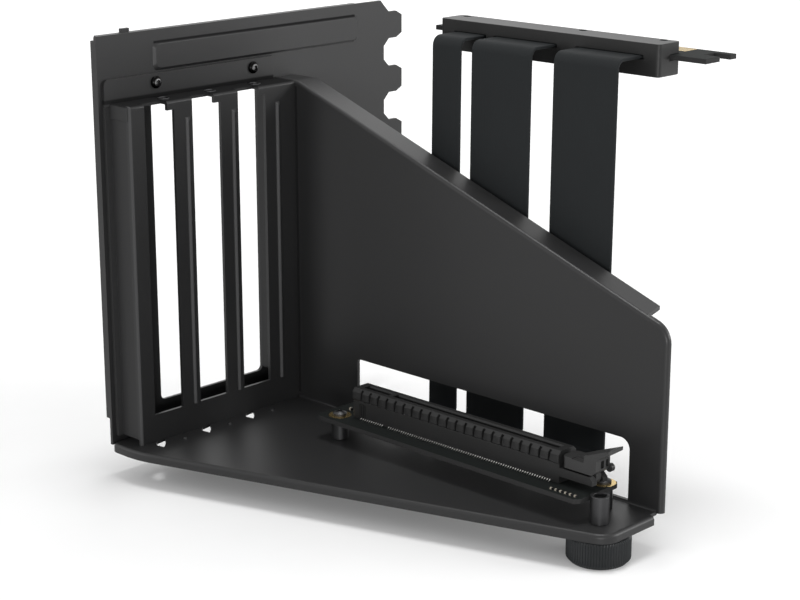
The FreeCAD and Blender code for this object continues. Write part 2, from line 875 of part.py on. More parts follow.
def plug_shell(low, high):
    """One half of the plug head, closed round the ribbons and the board."""
    shape = box(plug_left, plug_right, plug_front, plug_front + plug_depth, low, high)

    def upright_front(edge):
        a, b = (v.Point for v in edge.Vertexes)
        return abs(a.x - b.x) < 1e-6 and abs(a.y - b.y) < 1e-6

    shape = shape.makeFillet(plug_round, [e for e in shape.Edges if upright_front(e)])
    shape = shape.cut(plug_board_face(plug_board_gap).extrude(
        FreeCAD.Vector(0, 0, plug_board_thickness + 2 * plug_board_gap)))
    slot_low = ribbon_height - ribbon_thickness / 2 - ribbon_slot_gap
    slot_high = ribbon_height + ribbon_thickness / 2 + ribbon_slot_gap
    for x, width in ribbon_places():
        shape = shape.cut(box(x - ribbon_side_gap, x + width + ribbon_side_gap, plug_front - 1,
                              plug_front + plug_board_front + 0.2, slot_low, slot_high))
    for x, y in plug_screw_places():
        hole = rod(plug_screw_radius + screw_gap, (x, y, plug_top - plug_screw_depth), 5, (0, 0, 1))
        shape = shape.cut(hole)
    return shape


def plug_screw(x, y):
    """Sunk screw in the top of the plug head."""
    low = plug_top - plug_screw_depth
    return rod(plug_screw_radius, (x, y, low), plug_screw_depth - plug_screw_sink, (0, 0, 1))


def foot_sleeve():
    """Threaded sleeve pressed into the base for the foot's stud."""
    sleeve = rod(sleeve_radius, (foot_x, foot_y, 0), sleeve_height, (0, 0, 1))
    spigot = rod(sleeve_spigot_radius, (foot_x, foot_y, -sheet), sheet, (0, 0, 1))
    bore = rod(stud_radius + running_gap, (foot_x, foot_y, -5), sleeve_height + 10, (0, 0, 1))
    return fused([sleeve, spigot]).cut(bore)


def knob_top():
    return -sheet - knob_gap


def foot_stud():
    low = knob_top() - knob_socket_depth
    high = sleeve_height - stud_top_gap
    stud = rod(stud_radius, (foot_x, foot_y, low), high - low, (0, 0, 1))
    tip = edges_where(stud, lambda point: abs(point.z - high) < 1e-6)
    return stud.makeChamfer(0.4, tip)


def fluted_outline(inset, z):
    """Outline of the knob with its flutes, drawn in by inset."""
    points = []
    for k in range(2 * knurl_count):
        angle = math.pi * k / knurl_count
        flute = knurl_depth if k % 2 else 0
        r = knob_radius - inset - flute
        points.append((foot_x + r * math.cos(angle), foot_y + r * math.sin(angle)))
    return outline(sharp(points), at_z(z)).OuterWire


def foot_knob():
    """Knurled knob: a fluted grip below the rim, bevelled at its foot, with a plain hub on top."""
    grip_top = -rim_depth - knob_rim_gap
    levels = [
        (knob_round, foot_bottom),
        (0, foot_bottom + knob_round),
        (0, grip_top),
    ]
    body = Part.makeLoft([fluted_outline(inset, z) for inset, z in levels], True, True)
    hub_low = grip_top - knob_round
    body = body.fuse(rod(knob_hub_radius, (foot_x, foot_y, hub_low), knob_top() - hub_low, (0, 0, 1)))
    bore_low = knob_top() - knob_socket_depth - running_gap
    return body.cut(rod(stud_radius + running_gap, (foot_x, foot_y, bore_low), knob_height, (0, 0, 1)))


def plate_screw(y, z):
    return pan_screw((sheet, y, z), (1, 0, 0), plate_screw_head, plate_screw_radius, 2 * sheet)


def board_screw(x, y):
    seat = (x, y, board_top + pad_thickness)
    return pan_screw(seat, (0, 0, 1), board_screw_head, post_hole_radius - screw_gap, board_screw_length)


def all_parts():
    parts = {
        "main_bracket": main_bracket(),
        "rear_plate": rear_plate(),
        "slot_bracket": slot_bracket(),
        "riser_board": riser_board(),
        "board_chips": board_chips(),
        "socket_housing": socket_housing(),
        "socket_contacts": socket_contacts(),
        "socket_latch": socket_latch(),
        "plug_lower_shell": plug_shell(ribbon_height - plug_foot, ribbon_height),
        "plug_upper_shell": plug_shell(ribbon_height, plug_top),
        "plug_board": plug_board(),
        "plug_fingers": plug_fingers(),
        "foot_sleeve": foot_sleeve(),
        "foot_stud": foot_stud(),
        "foot_knob": foot_knob(),
    }
    for side, (y, z) in zip(("left", "right"), plate_screw_places()):
        parts["plate_screw_" + side] = plate_screw(y, z)
    for side, (x, y) in zip(("left", "right"), post_places()):
        parts["board_post_" + side] = standoff(x, y)
        parts["board_pad_" + side] = board_pad(x, y)
        parts["board_screw_" + side] = board_screw(x, y)
    for side, (x, width) in zip(("narrow", "middle", "end"), ribbon_places()):
        parts["ribbon_" + side] = ribbon(x, width)
    for side, (x, y) in zip(("left", "middle", "right"), plug_screw_places()):
        parts["plug_screw_" + side] = plug_screw(x, y)
    return parts


os.makedirs("parts", exist_ok=True)
for name, shape in all_parts().items():
    shape.translate(origin * -1)
    shape.exportStep("parts/" + name + ".step")
    print(name, len(shape.Solids), round(shape.Volume, 1), shape.isValid())
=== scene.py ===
import json
import math
import bmesh
import bpy
from mathutils import Matrix, Vector


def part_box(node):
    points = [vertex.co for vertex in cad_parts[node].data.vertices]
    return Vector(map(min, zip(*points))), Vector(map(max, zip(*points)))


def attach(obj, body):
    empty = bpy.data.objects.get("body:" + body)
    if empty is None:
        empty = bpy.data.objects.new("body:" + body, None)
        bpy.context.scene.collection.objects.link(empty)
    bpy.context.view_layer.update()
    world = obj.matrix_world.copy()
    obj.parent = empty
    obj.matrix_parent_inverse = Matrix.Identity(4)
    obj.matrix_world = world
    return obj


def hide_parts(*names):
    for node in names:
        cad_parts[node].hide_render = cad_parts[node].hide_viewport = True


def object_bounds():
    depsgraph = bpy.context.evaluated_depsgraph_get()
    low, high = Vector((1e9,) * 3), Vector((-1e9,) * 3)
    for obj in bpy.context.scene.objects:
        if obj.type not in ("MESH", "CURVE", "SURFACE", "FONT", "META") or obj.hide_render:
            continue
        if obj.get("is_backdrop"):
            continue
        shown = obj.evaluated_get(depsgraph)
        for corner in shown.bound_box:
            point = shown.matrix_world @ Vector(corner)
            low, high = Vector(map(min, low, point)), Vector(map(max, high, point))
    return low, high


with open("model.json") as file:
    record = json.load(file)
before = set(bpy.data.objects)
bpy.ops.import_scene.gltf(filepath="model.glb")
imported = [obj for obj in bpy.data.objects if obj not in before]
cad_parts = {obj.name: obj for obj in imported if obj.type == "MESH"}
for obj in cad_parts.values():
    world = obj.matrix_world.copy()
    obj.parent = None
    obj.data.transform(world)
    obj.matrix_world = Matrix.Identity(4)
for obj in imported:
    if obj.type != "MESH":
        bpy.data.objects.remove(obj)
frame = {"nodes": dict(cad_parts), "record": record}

mm = 0.001
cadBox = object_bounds()
nodes = frame["nodes"]
record = frame["record"]
bodyOf = {node: body for body, members in record["behaviour"]["bodies"].items() for node in members}
slotOf = {part["node"]: part["material_slot"] for part in record["subparts"]}

# places on the sheets are measured from the inner corner of rear plate, panel and base
flangeReach = 9.7 * mm    # from the panel's face to the far edge of its flange
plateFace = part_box("slot_bracket")[0][0]
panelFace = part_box("main_bracket")[1][1] - flangeReach
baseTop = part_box("slot_bracket")[0][2]
slotPitch = 20.32 * mm
slotCount = 3
mergeReach = 0.002 * mm    # points closer than this are one point


def fromPlate(x):
    return plateFace + x * mm


def fromPanel(y):
    return panelFace + y * mm


def fromBase(z):
    return baseTop + z * mm


class Wire:
    # a socket that takes part in sums, so node maths reads as an expression
    def __init__(self, sheet, node, socket):
        self.sheet = sheet
        self.node = node
        self.socket = socket

    def out(self, name):
        return Wire(self.sheet, self.node, self.node.outputs[name])

    def calc(self, operation, second=0.0):
        return self.sheet.maths(operation, self, second)

    def __add__(self, other):
        return self.sheet.maths("ADD", self, other)

    def __radd__(self, other):
        return self.sheet.maths("ADD", other, self)

    def __sub__(self, other):
        return self.sheet.maths("SUBTRACT", self, other)

    def __rsub__(self, other):
        return self.sheet.maths("SUBTRACT", other, self)

    def __mul__(self, other):
        return self.sheet.maths("MULTIPLY", self, other)

    def __rmul__(self, other):
        return self.sheet.maths("MULTIPLY", other, self)

    def __truediv__(self, other):
        return self.sheet.maths("DIVIDE", self, other)

    def __rtruediv__(self, other):
        return self.sheet.maths("DIVIDE", other, self)

    def __mod__(self, other):
        return self.sheet.maths("MODULO", self, other)

    def __floordiv__(self, other):
        return (self / other).calc("FLOOR")


class NodeSheet:
    # adds nodes to one tree
    def __init__(self, tree):
        self.tree = tree

    def add(self, kind, settings=None, inputs=None):
        node = self.tree.nodes.new(kind)
        for key, value in (settings or {}).items():
            setattr(node, key, value)
        for key, value in (inputs or {}).items():
            for item in value if isinstance(value, list) else [value]:
                if isinstance(item, Wire):
                    self.tree.links.new(item.socket, node.inputs[key])
                else:
                    node.inputs[key].default_value = item
        return Wire(self, node, node.outputs[0] if node.outputs else None)

    def maths(self, operation, first, second):
        return self.add("ShaderNodeMath", {"operation": operation}, {0: first, 1: second})

    def place(self, x=0.0, y=0.0, z=0.0):
        return self.add("ShaderNodeCombineXYZ", None, {0: x, 1: y, 2: z})

    def axis(self, vector, name):
        return self.add("ShaderNodeSeparateXYZ", None, {0: vector}).out(name)

    def moved(self, shape, x=0.0, y=0.0, z=0.0):
        return self.carried(shape, self.place(x, y, z))

    def carried(self, shape, offset):
        return self.add("GeometryNodeTransform", None, {"Geometry": shape, "Translation": offset})


def newMaterial(name):
    material = bpy.data.materials.new(name)
    material.use_nodes = True
    material.node_tree.nodes.clear()
    return material, NodeSheet(material.node_tree)


def closeMaterial(sheet, shader):
    sheet.add("ShaderNodeOutputMaterial", None, {"Surface": shader})


def opaque(tone):
    return (*tone, 1.0)


def mixTone(sheet, factor, low, high):
    # a Mix node has its colours at inputs 6 and 7 and at output 2
    return sheet.add("ShaderNodeMix", {"data_type": "RGBA"}, {0: factor, 6: low, 7: high}).out(2)


grainMix = {"driftShare": 0.7, "grainShare": 0.3, "driftDetail": 3.0, "grainDetail": 2.0,
            "ribGrain": 0.4, "noiseMiddle": 0.5, "plainGloss": 0.5}


def sideToneAndPaintedShade(sheet, tone, look):
    # another tone shows where the face turns from the look's axis: the board's own edge colour, and on the
    # screw heads a painted shade round the rim
    normal = sheet.add("ShaderNodeNewGeometry").out("Normal")
    facing = sheet.axis(normal, look["axis"]).calc("ABSOLUTE").calc("GREATER_THAN", look["turn"])
    return mixTone(sheet, facing, opaque(look["sides"]), tone)


def cableRibs(sheet, place, grain, look):
    wave = (sheet.axis(place, "X") * (2 * math.pi / look["ribPitch"])).calc("SINE")
    return grain * grainMix["ribGrain"] + wave


def withPaintedBand(sheet, place, shader, paintedBand):
    # a band along one level in a plain diffuse tone: painted shade where the tone is dark, painted highlight
    # where it is light
    across = sheet.axis(place, paintedBand["axes"][0])
    along = sheet.axis(place, paintedBand["axes"][1])
    near = 1 - (across - paintedBand["level"]).calc("ABSOLUTE") / paintedBand["half"]
    inside = along.calc("GREATER_THAN", paintedBand["from"]) * along.calc("LESS_THAN", paintedBand["to"])
    amount = (near * paintedBand["sharp"]).calc("MAXIMUM", 0.0).calc("MINIMUM", paintedBand["most"]) * inside
    paintedShader = sheet.add("ShaderNodeBsdfDiffuse", None, {"Color": opaque(paintedBand["tone"])})
    return sheet.add("ShaderNodeMixShader", None, {0: amount, 1: shader, 2: paintedShader})


def grainMaterial(name, look):
    # a fine grain in the bump, a slow drift in tone and gloss, and side tones (own colour or painted shade),
    # ribs, or bands of painted light and shade where given
    material, sheet = newMaterial(name)
    place = sheet.add("ShaderNodeTexCoord").out("Object")
    drift = sheet.add("ShaderNodeTexNoise", None, {
        "Vector": place, "Scale": look["driftScale"], "Detail": grainMix["driftDetail"]})
    grain = sheet.add("ShaderNodeTexNoise", None, {
        "Vector": place, "Scale": look["grainScale"], "Detail": grainMix["grainDetail"]})
    share = drift * grainMix["driftShare"] + grain * grainMix["grainShare"]
    tone = mixTone(sheet, share, opaque(look["low"]), opaque(look["high"]))
    if "sides" in look:
        tone = sideToneAndPaintedShade(sheet, tone, look)
    middle = grainMix["noiseMiddle"]
    rough = look["rough"] + (drift - middle) * look["roughDrift"] + (grain - middle) * look["roughGrain"]
    height = cableRibs(sheet, place, grain, look) if "ribPitch" in look else grain
    bump = sheet.add("ShaderNodeBump", None, {
        "Height": height, "Strength": look["bump"], "Distance": look["depth"]})
    shader = sheet.add("ShaderNodeBsdfPrincipled", None, {
        "Base Color": tone, "Roughness": rough, "Metallic": look.get("metal", 0.0), "Normal": bump,
        "Specular IOR Level": look.get("gloss", grainMix["plainGloss"])})
    for paintedBand in look.get("paintedBands", []):
        shader = withPaintedBand(sheet, place, shader, paintedBand)
    closeMaterial(sheet, shader)
    return material


coat = {"low": (0.0150, 0.0150, 0.0153), "high": (0.0185, 0.0185, 0.0189), "driftScale": 18.0,
        "grainScale": 2200.0, "rough": 0.41, "roughDrift": 0.05, "roughGrain": 0.06,
        "bump": 0.12, "depth": 0.1 * mm, "gloss": 0.32}

# bands of painted shade and painted highlight on the coated sheets: across the first axis at a level, and
# between two ends on the second
beyond = 1.0    # metres, past either end of the part
hookRise = 1.3 * mm    # the hook stands this far above the plate itself
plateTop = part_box("rear_plate")[1][2] - hookRise
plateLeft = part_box("rear_plate")[0][1]
# the bands' plain base: a dark tone, for painted shade
paintedBandBase = {"tone": coat["low"], "sharp": 1.8, "most": 1.0}
# painted shade: a dark line along the top edge of the plate's emboss
embossPaintedShade = {**paintedBandBase, "axes": "ZY", "level": plateTop - 4.2 * mm, "half": 0.55 * mm,
                "from": plateLeft + 23.8 * mm, "to": plateLeft + 118.0 * mm}
# painted shade: a dark line where the ledge meets the bracket's back
ledgePaintedShade = {**paintedBandBase, "axes": "ZY", "level": fromBase(116.9), "half": 1.0 * mm,
               "from": -beyond, "to": beyond}
# painted light: the side wall is painted a lighter, even diffuse tone
wallPaintedLight = {"axes": "YZ", "level": fromPanel(-78.0), "half": 5.1 * mm, "from": -beyond,
            "to": fromBase(116.3), "tone": (0.042, 0.042, 0.0425), "sharp": 12.0, "most": 0.65}
# painted highlight: a light line along the side wall's outer bend
bendPaintedHighlight = {**paintedBandBase, "axes": "YX", "level": fromPanel(-73.05), "half": 0.55 * mm,
            "from": fromPlate(9.0), "to": fromPlate(12.0), "tone": (0.075, 0.075, 0.076), "most": 0.8}
# painted shade: a dark line in the inside corner of panel and slot bracket
cornerPaintedShade = {**paintedBandBase, "axes": "XZ", "level": fromPlate(11.3), "half": 0.75 * mm,
                "from": fromBase(2.0), "to": fromBase(114.5)}

# the pressed ribs of the slot bracket, with a painted highlight on their left side
ribs = {"middles": [fromPanel(-8.4) - k * slotPitch for k in range(slotCount)], "half": 0.95 * mm,
        "face": fromPlate(10.8), "top": fromBase(109.9), "end": 3.8 * mm, "lift": 1.1 * mm,
        "slack": 0.05 * mm, "endSlack": 0.1 * mm, "highlightAt": 0.45 * mm, "highlightHalf": 0.6 * mm,
        "highlightFrom": 0.15 * mm, "highlightTo": 1.0 * mm}
# painted highlight: a light line on the left side of each pressed rib
ribPaintedHighlights = [{**paintedBandBase, "axes": "YX", "level": middle - ribs["highlightAt"], "half": ribs["highlightHalf"],
            "from": ribs["face"] + ribs["highlightFrom"], "to": ribs["face"] + ribs["highlightTo"],
            "tone": (0.085, 0.085, 0.086), "most": 0.85} for middle in ribs["middles"]]

finishes = {
    "bracket_coat": coat,
    # the panel, plate and ledge coats carry the bands of painted shade and painted highlight above
    "panel_coat_painted_shade": {**coat, "paintedBands": [cornerPaintedShade]},
    "plate_coat_painted_shade": {**coat, "paintedBands": [embossPaintedShade]},
    "ledge_coat_painted_light_and_shade": {**coat, "paintedBands": [ledgePaintedShade, wallPaintedLight, bendPaintedHighlight, *ribPaintedHighlights]},
    "fold_coat": {**coat, "gloss": 0.2},
    "board_black": {"low": (0.005, 0.006, 0.006), "high": (0.007, 0.009, 0.008), "driftScale": 60.0,
                    "grainScale": 3000.0, "rough": 0.72, "roughDrift": 0.06, "roughGrain": 0.05,
                    "bump": 0.08, "depth": 0.06 * mm, "gloss": 0.12,
                    "sides": (0.028, 0.028, 0.028), "axis": "Z", "turn": 0.7},
    "chip_grey": {"low": (0.30, 0.27, 0.22), "high": (0.40, 0.37, 0.31), "driftScale": 400.0,
                  "grainScale": 5000.0, "rough": 0.4, "roughDrift": 0.05, "roughGrain": 0.05,
                  "bump": 0.05, "depth": 0.05 * mm},
    "moulded_black": {"low": (0.011, 0.011, 0.011), "high": (0.015, 0.015, 0.015), "driftScale": 90.0,
                      "grainScale": 4200.0, "rough": 0.42, "roughDrift": 0.06, "roughGrain": 0.08,
                      "bump": 0.15, "depth": 0.06 * mm, "gloss": 0.3},
    "latch_black": {"low": (0.020, 0.020, 0.020), "high": (0.026, 0.026, 0.026), "driftScale": 90.0,
                    "grainScale": 4200.0, "rough": 0.4, "roughDrift": 0.06, "roughGrain": 0.08,
                    "bump": 0.12, "depth": 0.06 * mm, "gloss": 0.4},
    "plug_black": {"low": (0.019, 0.019, 0.019), "high": (0.023, 0.023, 0.023), "driftScale": 60.0,
                   "grainScale": 3600.0, "rough": 0.4, "roughDrift": 0.05, "roughGrain": 0.06,
                   "bump": 0.1, "depth": 0.06 * mm, "gloss": 0.22},
    "contact_gold": {"low": (0.62, 0.44, 0.17), "high": (0.74, 0.56, 0.25), "driftScale": 200.0,
                     "grainScale": 5000.0, "rough": 0.26, "roughDrift": 0.08, "roughGrain": 0.05,
                     "bump": 0.05, "depth": 0.04 * mm, "metal": 1.0},
    "contact_tin": {"low": (0.66, 0.65, 0.62), "high": (0.80, 0.79, 0.76), "driftScale": 300.0,
                    "grainScale": 5000.0, "rough": 0.28, "roughDrift": 0.08, "roughGrain": 0.05,
                    "bump": 0.05, "depth": 0.04 * mm, "metal": 1.0},
    "dark_steel": {"low": (0.046, 0.046, 0.047), "high": (0.068, 0.068, 0.070), "driftScale": 300.0,
                   "grainScale": 4000.0, "rough": 0.46, "roughDrift": 0.08, "roughGrain": 0.05,
                   "bump": 0.06, "depth": 0.04 * mm, "metal": 1.0},
    # painted shade: the screw head's rim, where it turns from X, is painted near black
    "screw_steel": {"low": (0.15, 0.15, 0.15), "high": (0.20, 0.20, 0.20), "driftScale": 300.0,
                    "grainScale": 4000.0, "rough": 0.26, "roughDrift": 0.06, "roughGrain": 0.05,
                    "bump": 0.05, "depth": 0.04 * mm, "metal": 1.0,
                    "sides": (0.006, 0.006, 0.006), "axis": "X", "turn": 0.86},
    "knob_grey": {"low": (0.0095, 0.0110, 0.0120), "high": (0.0135, 0.0152, 0.0163), "driftScale": 160.0,
                  "grainScale": 4000.0, "rough": 0.42, "roughDrift": 0.06, "roughGrain": 0.05,
                  "bump": 0.06, "depth": 0.04 * mm, "gloss": 0.26},
    "ribbon_jacket": {"low": (0.0146, 0.0162, 0.0172), "high": (0.0186, 0.0205, 0.0216), "driftScale": 40.0,
                      "grainScale": 2600.0, "rough": 0.74, "roughDrift": 0.05, "roughGrain": 0.06,
                      "bump": 0.1, "depth": 0.05 * mm, "gloss": 0.12, "ribPitch": 1.27 * mm},
}
materials = {slot: grainMaterial(slot, look) for slot, look in finishes.items()}
print("materials:", len(materials))


def settle(piece, body, slot, *replaced):
    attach(piece, body)
    if replaced:
        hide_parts(*replaced)
    return piece


def link(name, mesh):
    piece = bpy.data.objects.new(name, mesh)
    bpy.context.scene.collection.objects.link(piece)
    return piece


def frozen(piece):
    # the modifiers' result as a plain mesh in the same object
    shapes = bpy.context.evaluated_depsgraph_get()
    mesh = bpy.data.meshes.new_from_object(piece.evaluated_get(shapes))
    piece.modifiers.clear()
    piece.data = mesh
    return piece


def cleaned(piece):
    # after a cut: many-sided faces are split, and slivers with no area go
    bm = bmesh.new()
    bm.from_mesh(piece.data)
    bmesh.ops.remove_doubles(bm, verts=bm.verts, dist=mergeReach)
    bmesh.ops.triangulate(bm, faces=[face for face in bm.faces if len(face.verts) > 4])
    bmesh.ops.dissolve_degenerate(bm, dist=mergeReach, edges=bm.edges[:])
    bm.to_mesh(piece.data)
    bm.free()
    return piece


def pointMesh(name, places, edges=(), marks=None):
    # loose points, or a line through them, with named values at each point
    mesh = bpy.data.meshes.new(name)
    mesh.from_pydata([tuple(place) for place in places], edges, [])
    for key, values in (marks or {}).items():
        vector = isinstance(values[0], tuple)
        layer = mesh.attributes.new(key, "FLOAT_VECTOR" if vector else "FLOAT", "POINT")
        for cell, value in zip(layer.data, values):
            setattr(cell, "vector" if vector else "value", value)
    return mesh


def newTree(name, sizes):
    # a geometry tree whose named inputs are the sizes in the piece's dictionary
    tree = bpy.data.node_groups.new(name, "GeometryNodeTree")
    kinds = {int: "NodeSocketInt", float: "NodeSocketFloat", tuple: "NodeSocketVector"}
    tree.interface.new_socket("Geometry", in_out="INPUT", socket_type="NodeSocketGeometry")
    for key, value in sizes.items():
        tree.interface.new_socket(key, in_out="INPUT", socket_type=kinds[type(value)])
    tree.interface.new_socket("Geometry", in_out="OUTPUT", socket_type="NodeSocketGeometry")
    sheet = NodeSheet(tree)
    return tree, sheet, sheet.add("NodeGroupInput")


def closeTree(sheet, shape, slot):
    whole = sheet.add("GeometryNodeRealizeInstances", None, {0: shape})
    dressed = sheet.add("GeometryNodeSetMaterial", None, {"Geometry": whole, "Material": materials[slot]})
    sheet.add("NodeGroupOutput", None, {0: dressed})


def grow(name, tree, seed, sizes, sharpFrom=35.0):
    # runs a tree on its seed mesh and keeps the result as a plain mesh
    piece = link(name, seed)
    growth = piece.modifiers.new("growth", "NODES")
    growth.node_group = tree
    for item in tree.interface.items_tree:
        if item.in_out == "INPUT" and item.name in sizes:
            growth[item.identifier] = sizes[item.name]
    frozen(piece)
    piece.data.shade_smooth()
    piece.data.set_sharp_from_angle(angle=math.radians(sharpFrom))
    return piece


def namedMark(sheet, key, kind="FLOAT"):
    return sheet.add("GeometryNodeInputNamedAttribute", {"data_type": kind}, {"Name": key})


def stamped(sheet, points, shape, rotation=None):
    inputs = {"Points": points, "Instance": shape}
    if rotation:
        inputs["Rotation"] = rotation
    return sheet.add("GeometryNodeInstanceOnPoints", None, inputs)


def turned(sheet, x=0.0, y=0.0, z=0.0):
    return sheet.add("FunctionNodeEulerToRotation", None, {0: sheet.place(x, y, z)})


dressing = {"flat": math.radians(0.3), "sharp": math.radians(32.0), "atLevel": 0.01 * mm, "segments": 2}


def markBreaks(bm, plainLevel):
    # sharp edges take the edge break, but not those that lie at plainLevel
    breaks = bm.edges.layers.float.new("bevel_weight_edge")
    for face in bm.faces:
        face.smooth = True
    for edge in bm.edges:
        edge.smooth = len(edge.link_faces) == 2 and edge.calc_face_angle(0.0) < dressing["sharp"]
        plain = plainLevel is not None and all(
            abs(point.co.z - plainLevel) < dressing["atLevel"] for point in edge.verts)
        edge[breaks] = 0.0 if edge.smooth or plain else 1.0


def dressedCopy(node, edge, finish=None, plainLevel=None, reshape=None, cutter=None):
    # the solid's own form, merged, with a small break on its sharp edges
    mesh = nodes[node].data.copy()
    bm = bmesh.new()
    bm.from_mesh(mesh)
    bmesh.ops.remove_doubles(bm, verts=bm.verts, dist=mergeReach)
    bmesh.ops.dissolve_limit(bm, angle_limit=dressing["flat"], verts=bm.verts, edges=bm.edges)
    if reshape:
        reshape(bm)
    markBreaks(bm, plainLevel)
    bm.to_mesh(mesh)
    bm.free()
    mesh.materials.clear()
    mesh.materials.append(materials[finish or slotOf[node]])
    piece = link(node + "_dressed", mesh)
    if cutter:
        grooves = piece.modifiers.new("grooves", "BOOLEAN")
        grooves.operation = "DIFFERENCE"
        grooves.solver = "EXACT"
        grooves.object = cutter
    if edge:
        rounding = piece.modifiers.new("edgeBreak", "BEVEL")
        rounding.width = edge
        rounding.segments = dressing["segments"]
        rounding.limit_method = "WEIGHT"
    if cutter:
        cleaned(frozen(piece))
    even = piece.modifiers.new("evenShade", "WEIGHTED_NORMAL")
    even.keep_sharp = True
    return settle(frozen(piece), bodyOf[node], slotOf[node], node)


# small corrections of the solids' forms: side wall, pressed ribs and the latch's notch
onLevel = 0.02 * mm
sideWall = {"top": fromBase(113.2), "lift": 1.9 * mm, "end": fromPanel(-72.0)}
latchNotch = {"floor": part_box("socket_housing")[0][2] + 7.6 * mm, "lift": 1.55 * mm}


def atWallTop(at):
    return abs(at.z - sideWall["top"]) < onLevel and at.y < sideWall["end"]


def atRibEnd(at):
    aside = min(abs(at.y - middle) for middle in ribs["middles"])
    below = ribs["top"] - at.z
    onRib = aside < ribs["half"] + ribs["slack"] and at.x > ribs["face"] - ribs["slack"]
    return onRib and -ribs["endSlack"] < below < ribs["end"] + ribs["endSlack"]


def atNotchFloor(at):
    return abs(at.z - latchNotch["floor"]) < onLevel


def lifted(bm, lift, chosen):
    for point in bm.verts:
        if chosen(point.co):
            point.co.z += lift


def shapeSlots(bm):
    lifted(bm, sideWall["lift"], atWallTop)
    lifted(bm, ribs["lift"], atRibEnd)


def shapeLatch(bm):
    lifted(bm, latchNotch["lift"], atNotchFloor)


# the socket's band has deep leaning grooves, and its wall has thin upright ribs at the left end
groove = {"width": 1.05 * mm, "depth": 2.4 * mm, "height": 4.0 * mm, "slant": 0.16}
grooveRow = {"count": 22, "inset": 4.0 * mm, "length": 90.4 * mm, "middle": 8.3 * mm}
endRib = {"width": 0.3 * mm, "depth": 0.5 * mm, "height": 4.6 * mm, "slant": 0.0}
endRibRow = {"count": 4, "first": 3.0 * mm, "pitch": 0.8 * mm, "wallHalf": 3.8 * mm, "middle": 3.2 * mm}
socketLow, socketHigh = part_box("socket_housing")
socketMiddle = (socketLow[1] + socketHigh[1]) / 2


def blockTree():
    # a leaning block at every point
    tree, sheet, given = newTree("leaningBlocks", groove)
    size = sheet.place(given.out("width"), given.out("depth"), given.out("height"))
    block = sheet.add("GeometryNodeMeshCube", None, {"Size": size})
    lean = turned(sheet, y=given.out("slant"))
    closeTree(sheet, stamped(sheet, given.out("Geometry"), block, lean), "moulded_black")
    return tree


def groovePlaces():
    step = (grooveRow["length"] - 2 * grooveRow["inset"]) / (grooveRow["count"] - 1)
    columns = [socketLow[0] + grooveRow["inset"] + k * step for k in range(grooveRow["count"])]
    height = socketLow[2] + grooveRow["middle"]
    return [(x, side, height) for x in columns for side in (socketLow[1], socketHigh[1])]


def endRibPlaces():
    first = socketLow[0] + endRibRow["first"]
    columns = [first + k * endRibRow["pitch"] for k in range(endRibRow["count"])]
    walls = [socketMiddle + side * endRibRow["wallHalf"] for side in (-1, 1)]
    return [(x, wall, socketLow[2] + endRibRow["middle"]) for x in columns for wall in walls]


# sheet metal, mouldings, boards and turned posts keep the solid's form, with broken edges
leaningBlocks = blockTree()
cutters = grow("grooveCutters", leaningBlocks, pointMesh("groovePoints", groovePlaces()), groove)
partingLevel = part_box("plug_upper_shell")[0][2]
dressedNodes = {
    "main_bracket": {"edge": 0.2 * mm, "finish": "panel_coat_painted_shade"},
    "rear_plate": {"edge": 0.2 * mm, "finish": "plate_coat_painted_shade"},
    "slot_bracket": {"edge": 0.22 * mm, "finish": "ledge_coat_painted_light_and_shade", "reshape": shapeSlots},
    "riser_board": {"edge": 0.1 * mm},
    "socket_housing": {"edge": 0.12 * mm, "cutter": cutters},
    "socket_latch": {"edge": 0.2 * mm, "finish": "latch_black", "reshape": shapeLatch},
    "plug_upper_shell": {"edge": 0.35 * mm, "plainLevel": partingLevel},
    "plug_lower_shell": {"edge": 0.35 * mm, "plainLevel": partingLevel},
    "plug_board": {"edge": 0.15 * mm},
    "board_post_left": {"edge": 0.2 * mm},
    "board_post_right": {"edge": 0.2 * mm},
    "board_pad_left": {"edge": 0.0},
    "board_pad_right": {"edge": 0.0},
    "foot_sleeve": {"edge": 0.25 * mm},
}
for node, dress in dressedNodes.items():
    dressedCopy(node, **dress)
bpy.data.objects.remove(cutters)
ribPieces = grow("endRibs", leaningBlocks, pointMesh("endRibPoints", endRibPlaces()), endRib)
settle(ribPieces, "bracket", "moulded_black")

# the edge of the port opening, seen through the last slot, and the ledge's end tab over the side wall
foldedStrips = {
    "openingReturn": {"low": (-0.3, -8.2, 10.8), "high": (4.2, -7.0, 114.8), "round": 0.5 * mm,
                      "finish": "fold_coat"},
    "ledgeTab": {"low": (1.3, -73.95, 111.6), "high": (10.2, -73.4, 116.1), "round": 0.2 * mm,
                 "finish": "ledge_coat_painted_light_and_shade"},
}
foldRounding = {"segments": 3, "profile": 0.5, "affect": "EDGES"}


def foldedStrip(name, strip):
    # a short folded edge of sheet between two opposite corners, given in mm from the inner corner
    corners = (strip["low"], strip["high"])
    near, far = (Vector((fromPlate(x), fromPanel(y), fromBase(z))) for x, y, z in corners)
    bm = bmesh.new()
    bmesh.ops.create_cube(bm, size=1.0, matrix=Matrix.LocRotScale((near + far) / 2, None, far - near))
    bmesh.ops.bevel(bm, geom=bm.edges[:], offset=strip["round"], **foldRounding)
    mesh = bpy.data.meshes.new(name)
    bm.to_mesh(mesh)
    bm.free()
    mesh.materials.append(materials[strip["finish"]])
    settle(link(name, mesh), "bracket", "bracket_coat")


for name, strip in foldedStrips.items():
    foldedStrip(name, strip)
print("dressed:", len(dressedNodes))


